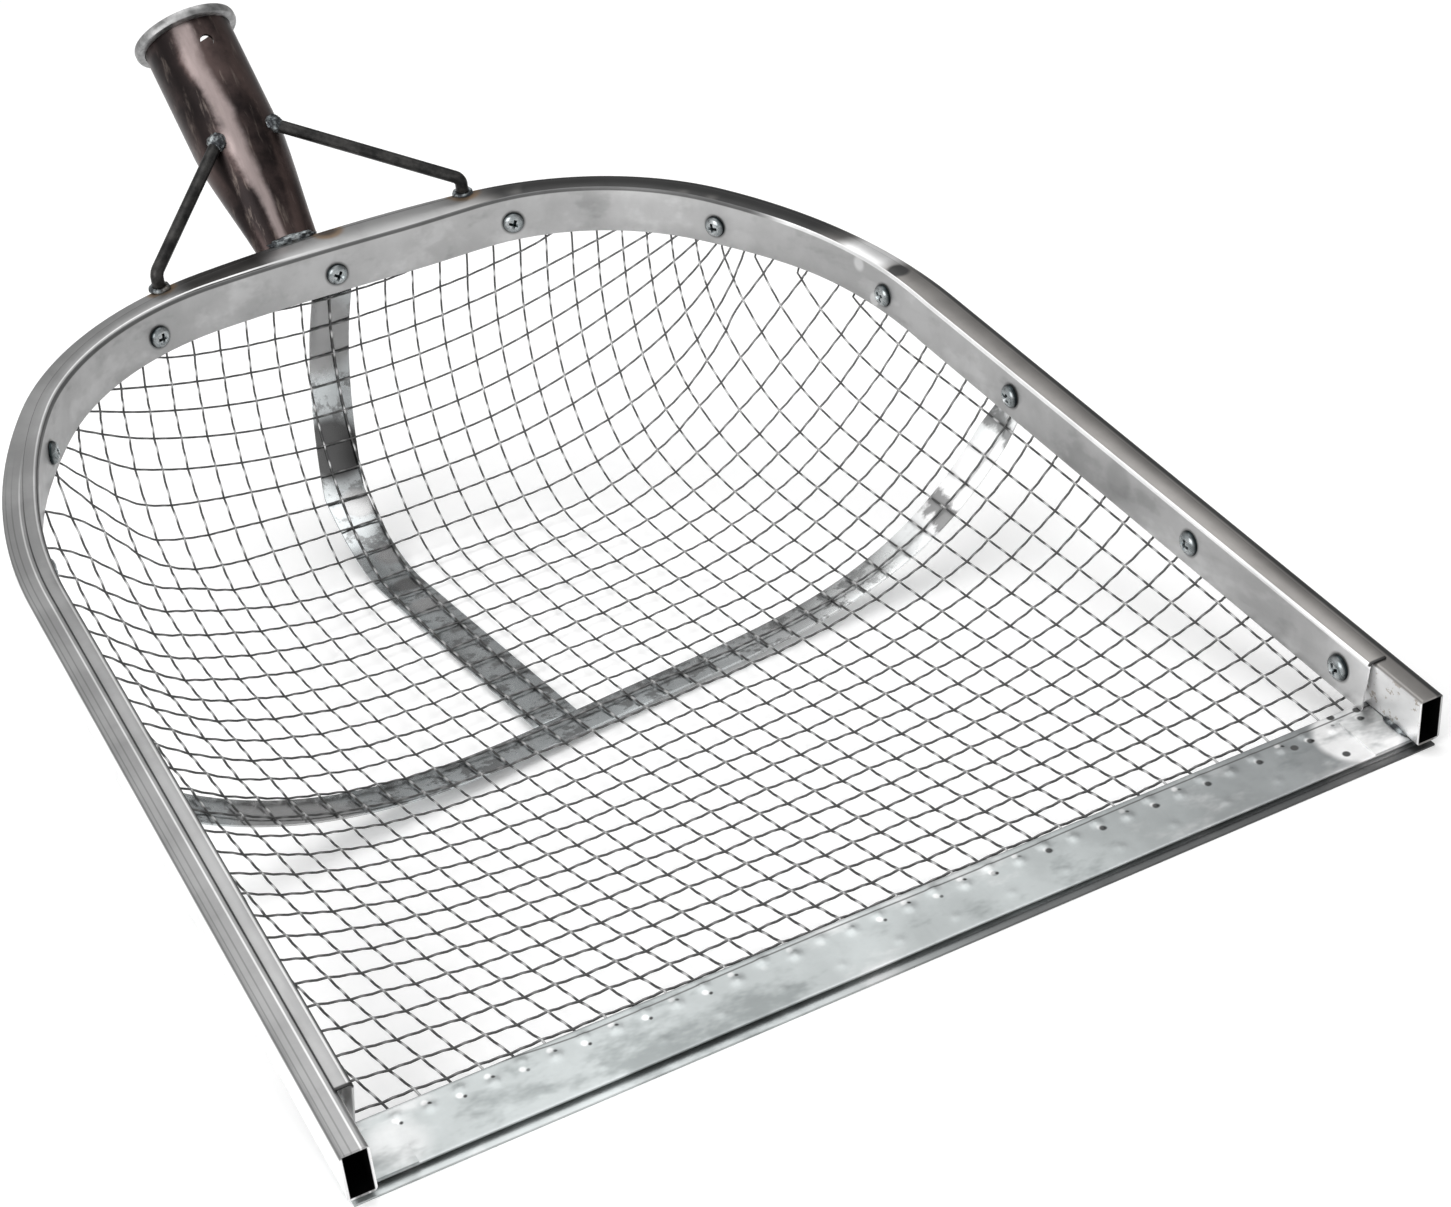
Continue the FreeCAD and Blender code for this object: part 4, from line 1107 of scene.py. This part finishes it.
def clamp_screws():
    pattern, copies = one_screw(), []
    for k, (p, way) in enumerate(screw_places()):
        copy = added("screw", pattern.data.copy())
        turn = Matrix.Rotation(0.4 + 1.1 * k, 4, "Z")
        copy.data.transform(facing(fitted(p - way * SCREW_SEAT), -way) @ turn)
        copies.append(copy)
    bpy.data.objects.remove(pattern)
    pick(copies[0])
    for copy in copies:
        copy.select_set(True)
    bpy.ops.object.join()
    copies[0].name = copies[0].data.name = "pan_head_screws"
    seat(copies[0], screw_finish(), "clamp_screws")


# ---- socket, ring and braces
UPRIGHT = Matrix.Translation(SOCKET_FOOT) @ Matrix((
    (SIDEWAYS.x, ACROSS.x, ALONG.x, 0), (SIDEWAYS.y, ACROSS.y, ALONG.y, 0),
    (0, ACROSS.z, ALONG.z, 0), (0, 0, 0, 1)))


def socket_section(h):
    """Half width and half height of the socket h millimetres above its foot."""
    ease = ramp(h, 0, SOCKET_TAPER) * 0.35 + clamp(h / SOCKET_TAPER) * 0.65
    wide = FOOT_HALF + (SOCKET_R - FOOT_HALF) * ease
    high = FOOT_HIGH / 2 + (SOCKET_R - FOOT_HIGH / 2) * ease
    return wide, min(high, wide)


def pole_socket():
    heights = [-14, 0, 8, 18, 28, 38, 48, 56, 64, 80, 100, SOCKET_MOUTH]
    piece = begin("socket_tube", "circle", radius=1, vertices=64, fill_type="NOTHING")
    wide, high = socket_section(heights[0])
    resize((wide, high, 1))
    move((0, 0, heights[0]))
    for a, b in zip(heights, heights[1:]):
        wider, higher = socket_section(b)
        pull((0, 0, b - a))
        resize((wider / wide, higher / high, 1), center_override=(0, 0, b))
        wide, high = wider, higher
    outside_out()
    finish_with(piece, "SOLIDIFY", thickness=SOCKET_WALL, offset=-1, use_even_offset=True)
    # hole for the pole's lock
    hole = begin("lock_hole", "cylinder", radius=HOLE, depth=30, vertices=32)
    hands_off()
    look = Vector((sin(HOLE_TURN), cos(HOLE_TURN), 0))
    spot = Vector((0, 0, SOCKET_MOUTH - HOLE_DOWN)) + look * SOCKET_R
    hole.data.transform(facing(spot, look))
    cut_with(piece, hole)
    piece.data.transform(UPRIGHT)
    # its foot is cut off flat just behind the tube
    pick(piece)
    bpy.ops.object.mode_set(mode="EDIT")
    select_all()
    face = ray(FOOT_ANGLE)
    bpy.ops.mesh.bisect(plane_co=tuple(SOCKET_FOOT + face * FOOT_SEAT), plane_no=tuple(face),
                        clear_inner=True, use_fill=False)
    outside_out()
    smooth(piece, 40)
    level = UPRIGHT.inverted()
    mark(piece, "around", lambda p: atan2((level @ p).x, (level @ p).y))
    seat(piece, socket_finish(), "pole_socket")


def socket_ring():
    inner, outer, wide = SOCKET_R + RING_PLAY, RING_OUTER, RING_WIDE
    section = [(inner, 0), (outer - 1.5, 0), (outer - 0.4, -0.5), (outer, -1.5), (outer, -3.5),
               (outer - 0.4, -4.5), (outer - 1.5, -wide), (inner, -wide), (inner, 0)]
    piece = lathe("socket_mouth_ring", [(r, SOCKET_MOUTH + z) for r, z in section], 72)
    smooth(piece)
    seat(piece, ring_finish(), "socket_rim", UPRIGHT)


def brace(side, foot, finish, name, node):
    """A rod that stands on the tube and bends over to the socket: where and how it ends."""
    radial = SIDEWAYS * (side * cos(ROD_AROUND)) + ACROSS * sin(ROD_AROUND)
    top = SOCKET_FOOT + ALONG * ROD_TOP + radial * (SOCKET_R - 1)
    up = Vector((0, 0, 1))
    elbow = foot + Vector((0, 0, ROD_LEG))
    slant = (top - elbow).normalized()
    half = acos(clamp(slant.dot(-up), -1)) / 2
    back = ROD_BEND / tan(half)
    axis = up.cross(slant).normalized()
    piece = begin(name, "circle", radius=ROD, vertices=20, fill_type="NGON")
    move(foot)
    pull(up * (ROD_LEG - back))
    swing(elbow - up * back + axis.cross(up) * ROD_BEND, axis, pi - 2 * half, 8)
    pull(slant * ((top - elbow).length - back))
    outside_out()
    smooth(piece, 40)
    seat(piece, finish, node)
    return top, slant


def lumpy(name, radii, place, finish, node, seed, rough=0.18):
    """A weld blob: a ball shaped by its three radii and made uneven."""
    piece = begin(name, "ico_sphere", radius=1, subdivisions=4)
    resize(radii)
    hands_off()
    for corner in piece.data.vertices:
        w = noise.noise(corner.co * 0.8 + Vector((seed, seed * 2, 0)))
        corner.co *= 1 + rough * w
    smooth(piece, 180)
    seat(piece, finish, node, place)


def bead_ring(name, place, finish, node, seed):
    """A ring of weld round a rod's foot, with the ripples of the torch."""
    piece = begin(name, "torus", major_radius=BEAD_RING, minor_radius=BEAD, major_segments=56,
                  minor_segments=14)
    hands_off()
    for corner in piece.data.vertices:
        x, y = corner.co.xy
        swell = 1 + 0.07 * sin(11 * atan2(y, x) + seed) + 0.10 * noise.noise(corner.co * 0.5)
        out = Vector((x, y, 0)).normalized() * BEAD_RING
        corner.co = out + (corner.co - out) * swell
        corner.co.z = max(0, corner.co.z * 1.15 + 0.6)
    smooth(piece, 180)
    seat(piece, finish, node, place)


def braces(weld):
    finish = rod_finish()
    for side, foot, word in ((-1, LEFT_FOOT, "left"), (1, RIGHT_FOOT, "right")):
        top, slant = brace(side, foot, finish, word + "_brace_rod", "brace_" + word)
        bead_ring(word + "_brace_foot_bead", Matrix.Translation((foot.x, foot.y, 0)), weld,
                  "brace_%s_foot_weld" % word, 1.7 * side)
        lumpy(word + "_brace_top_bead", (4.6, 4.4, 4.6), facing(top - slant * 1.5, slant), weld,
              "brace_%s_top_weld" % word, 3.1 + side)


def small_welds(weld):
    """The beads at the socket's foot, under the straps' joint and in the lip's corners."""
    edge = C3 + ray(FOOT_ANGLE) * (R3 - 0.6) + Vector((0, 0, 0.9))
    bead = Matrix.Translation(edge) @ Matrix.Rotation(FOOT_ANGLE - pi / 2, 4, "Z")
    lumpy("socket_foot_bead", (11.5, 2.1, 2.1), bead, weld, "socket_foot_weld", 8, 0.3)
    a, b = (under_bowl(x, strap_line(x) + HALF_STRAP + STRAP_JOINT / 2)
            for x in (-SPINE_SIDE - 8, -SPINE_SIDE + 8))
    under = (Matrix.Translation((a + b) / 2 - UP * (STRAP_THICK / 2 + 0.7))
             @ Matrix.Rotation(atan2(b.y - a.y, b.x - a.x), 4, "Z")
             @ Matrix.Rotation(-SLOPE, 4, "X"))
    lumpy("strap_joint_bead", (8, 1.7, 1.2), under, weld, "strap_joint_weld", 2)
    for side, word in ((-1, "left"), (1, "right")):
        corner = Matrix.Translation((side * (HALF - TUBE_WIDE - 0.2), 12,
                                     -TUBE_HIGH + LIP_SHEET + 0.2))
        lumpy(word + "_lip_bead", (1.3, 6.5, 1.3), corner, weld, "lip_weld_" + word, 5 + side)


# ---- floor, light and camera
def stage_set():
    """A pale floor that is white to the camera and keeps the shadow, in a soft bright room."""
    floor = begin("floor", "plane", size=1)
    resize((12, 12, 1))
    hands_off()
    f = Finish("pale_floor", 0)
    f.set("Emission Color", f.blend(f.seen(), grey(0), grey(1)))
    f.set("Emission Strength", 0.14)
    floor.data.materials.append(f.done(f.blend(f.cloud(3, 2), grey(0.93), grey(0.96)), 0.9))

    world = bpy.data.worlds.new("soft_room")
    bpy.context.scene.world = world
    sky = Nodes(world)
    where = sky.node("TexCoord", {}, {}, "Generated")
    lean = sky.node("VectorMath", {"operation": "DOT_PRODUCT"},
                    {0: where, 1: Vector((-0.75, -0.45, 0.35)).normalized()}, "Value")
    shown = (lean.rise(-0.7, 0.9) * 0.66 + 0.34).by("MAXIMUM", sky.seen())
    background = sky.tree.nodes["Background"].inputs
    sky.feed(background["Color"], shown)
    sky.feed(background["Strength"], 1)

    for name, place, size, power in (("window", (-1.9, -1.1, 1), 1.6, 26),
                                     ("ceiling", (0.3, 0.2, 2.6), 2.2, 22)):
        lamp = added(name, bpy.data.lights.new(name, "AREA"))
        lamp.data.size = size
        lamp.data.energy = power
        lamp.location = place
        lamp.rotation_mode = "QUATERNION"
        lamp.rotation_quaternion = (Vector((0, 0, 0.05)) - lamp.location).to_track_quat("-Z", "Y")


def photo_camera():
    """The photograph's camera, worked out from the frame's straight rails and its ends."""
    focal, picture_wide, sensor = 2826.75, 1451, 36
    spot = Vector((-335.6, -593.3, 633.2))
    right, forward = Vector((0.884, -0.461, -0.070)), Vector((0.334, 0.731, -0.595))
    turn = Matrix.Rotation(TILT, 3, "X")
    forward = (turn @ forward).normalized()
    right = turn @ right
    right = (right - forward * right.dot(forward)).normalized()
    up = right.cross(forward)
    lens = bpy.data.cameras.new("photo_camera")
    lens.sensor_width = sensor
    lens.lens = sensor * focal / picture_wide
    camera = added("photo_camera", lens)
    camera.matrix_world = (Matrix.Translation(REST @ spot)
                           @ Matrix((right, up, -forward)).transposed().to_4x4())
    bpy.context.scene.camera = camera
    bpy.context.scene.view_settings.view_transform = "Standard"


# ---- the whole net
frame_tube()
clamp_strip()
wire_bowl()
straps()
front_lip()
clamp_screws()
pole_socket()
socket_ring()
weld = weld_finish()
braces(weld)
small_welds(weld)
stage_set()
photo_camera()
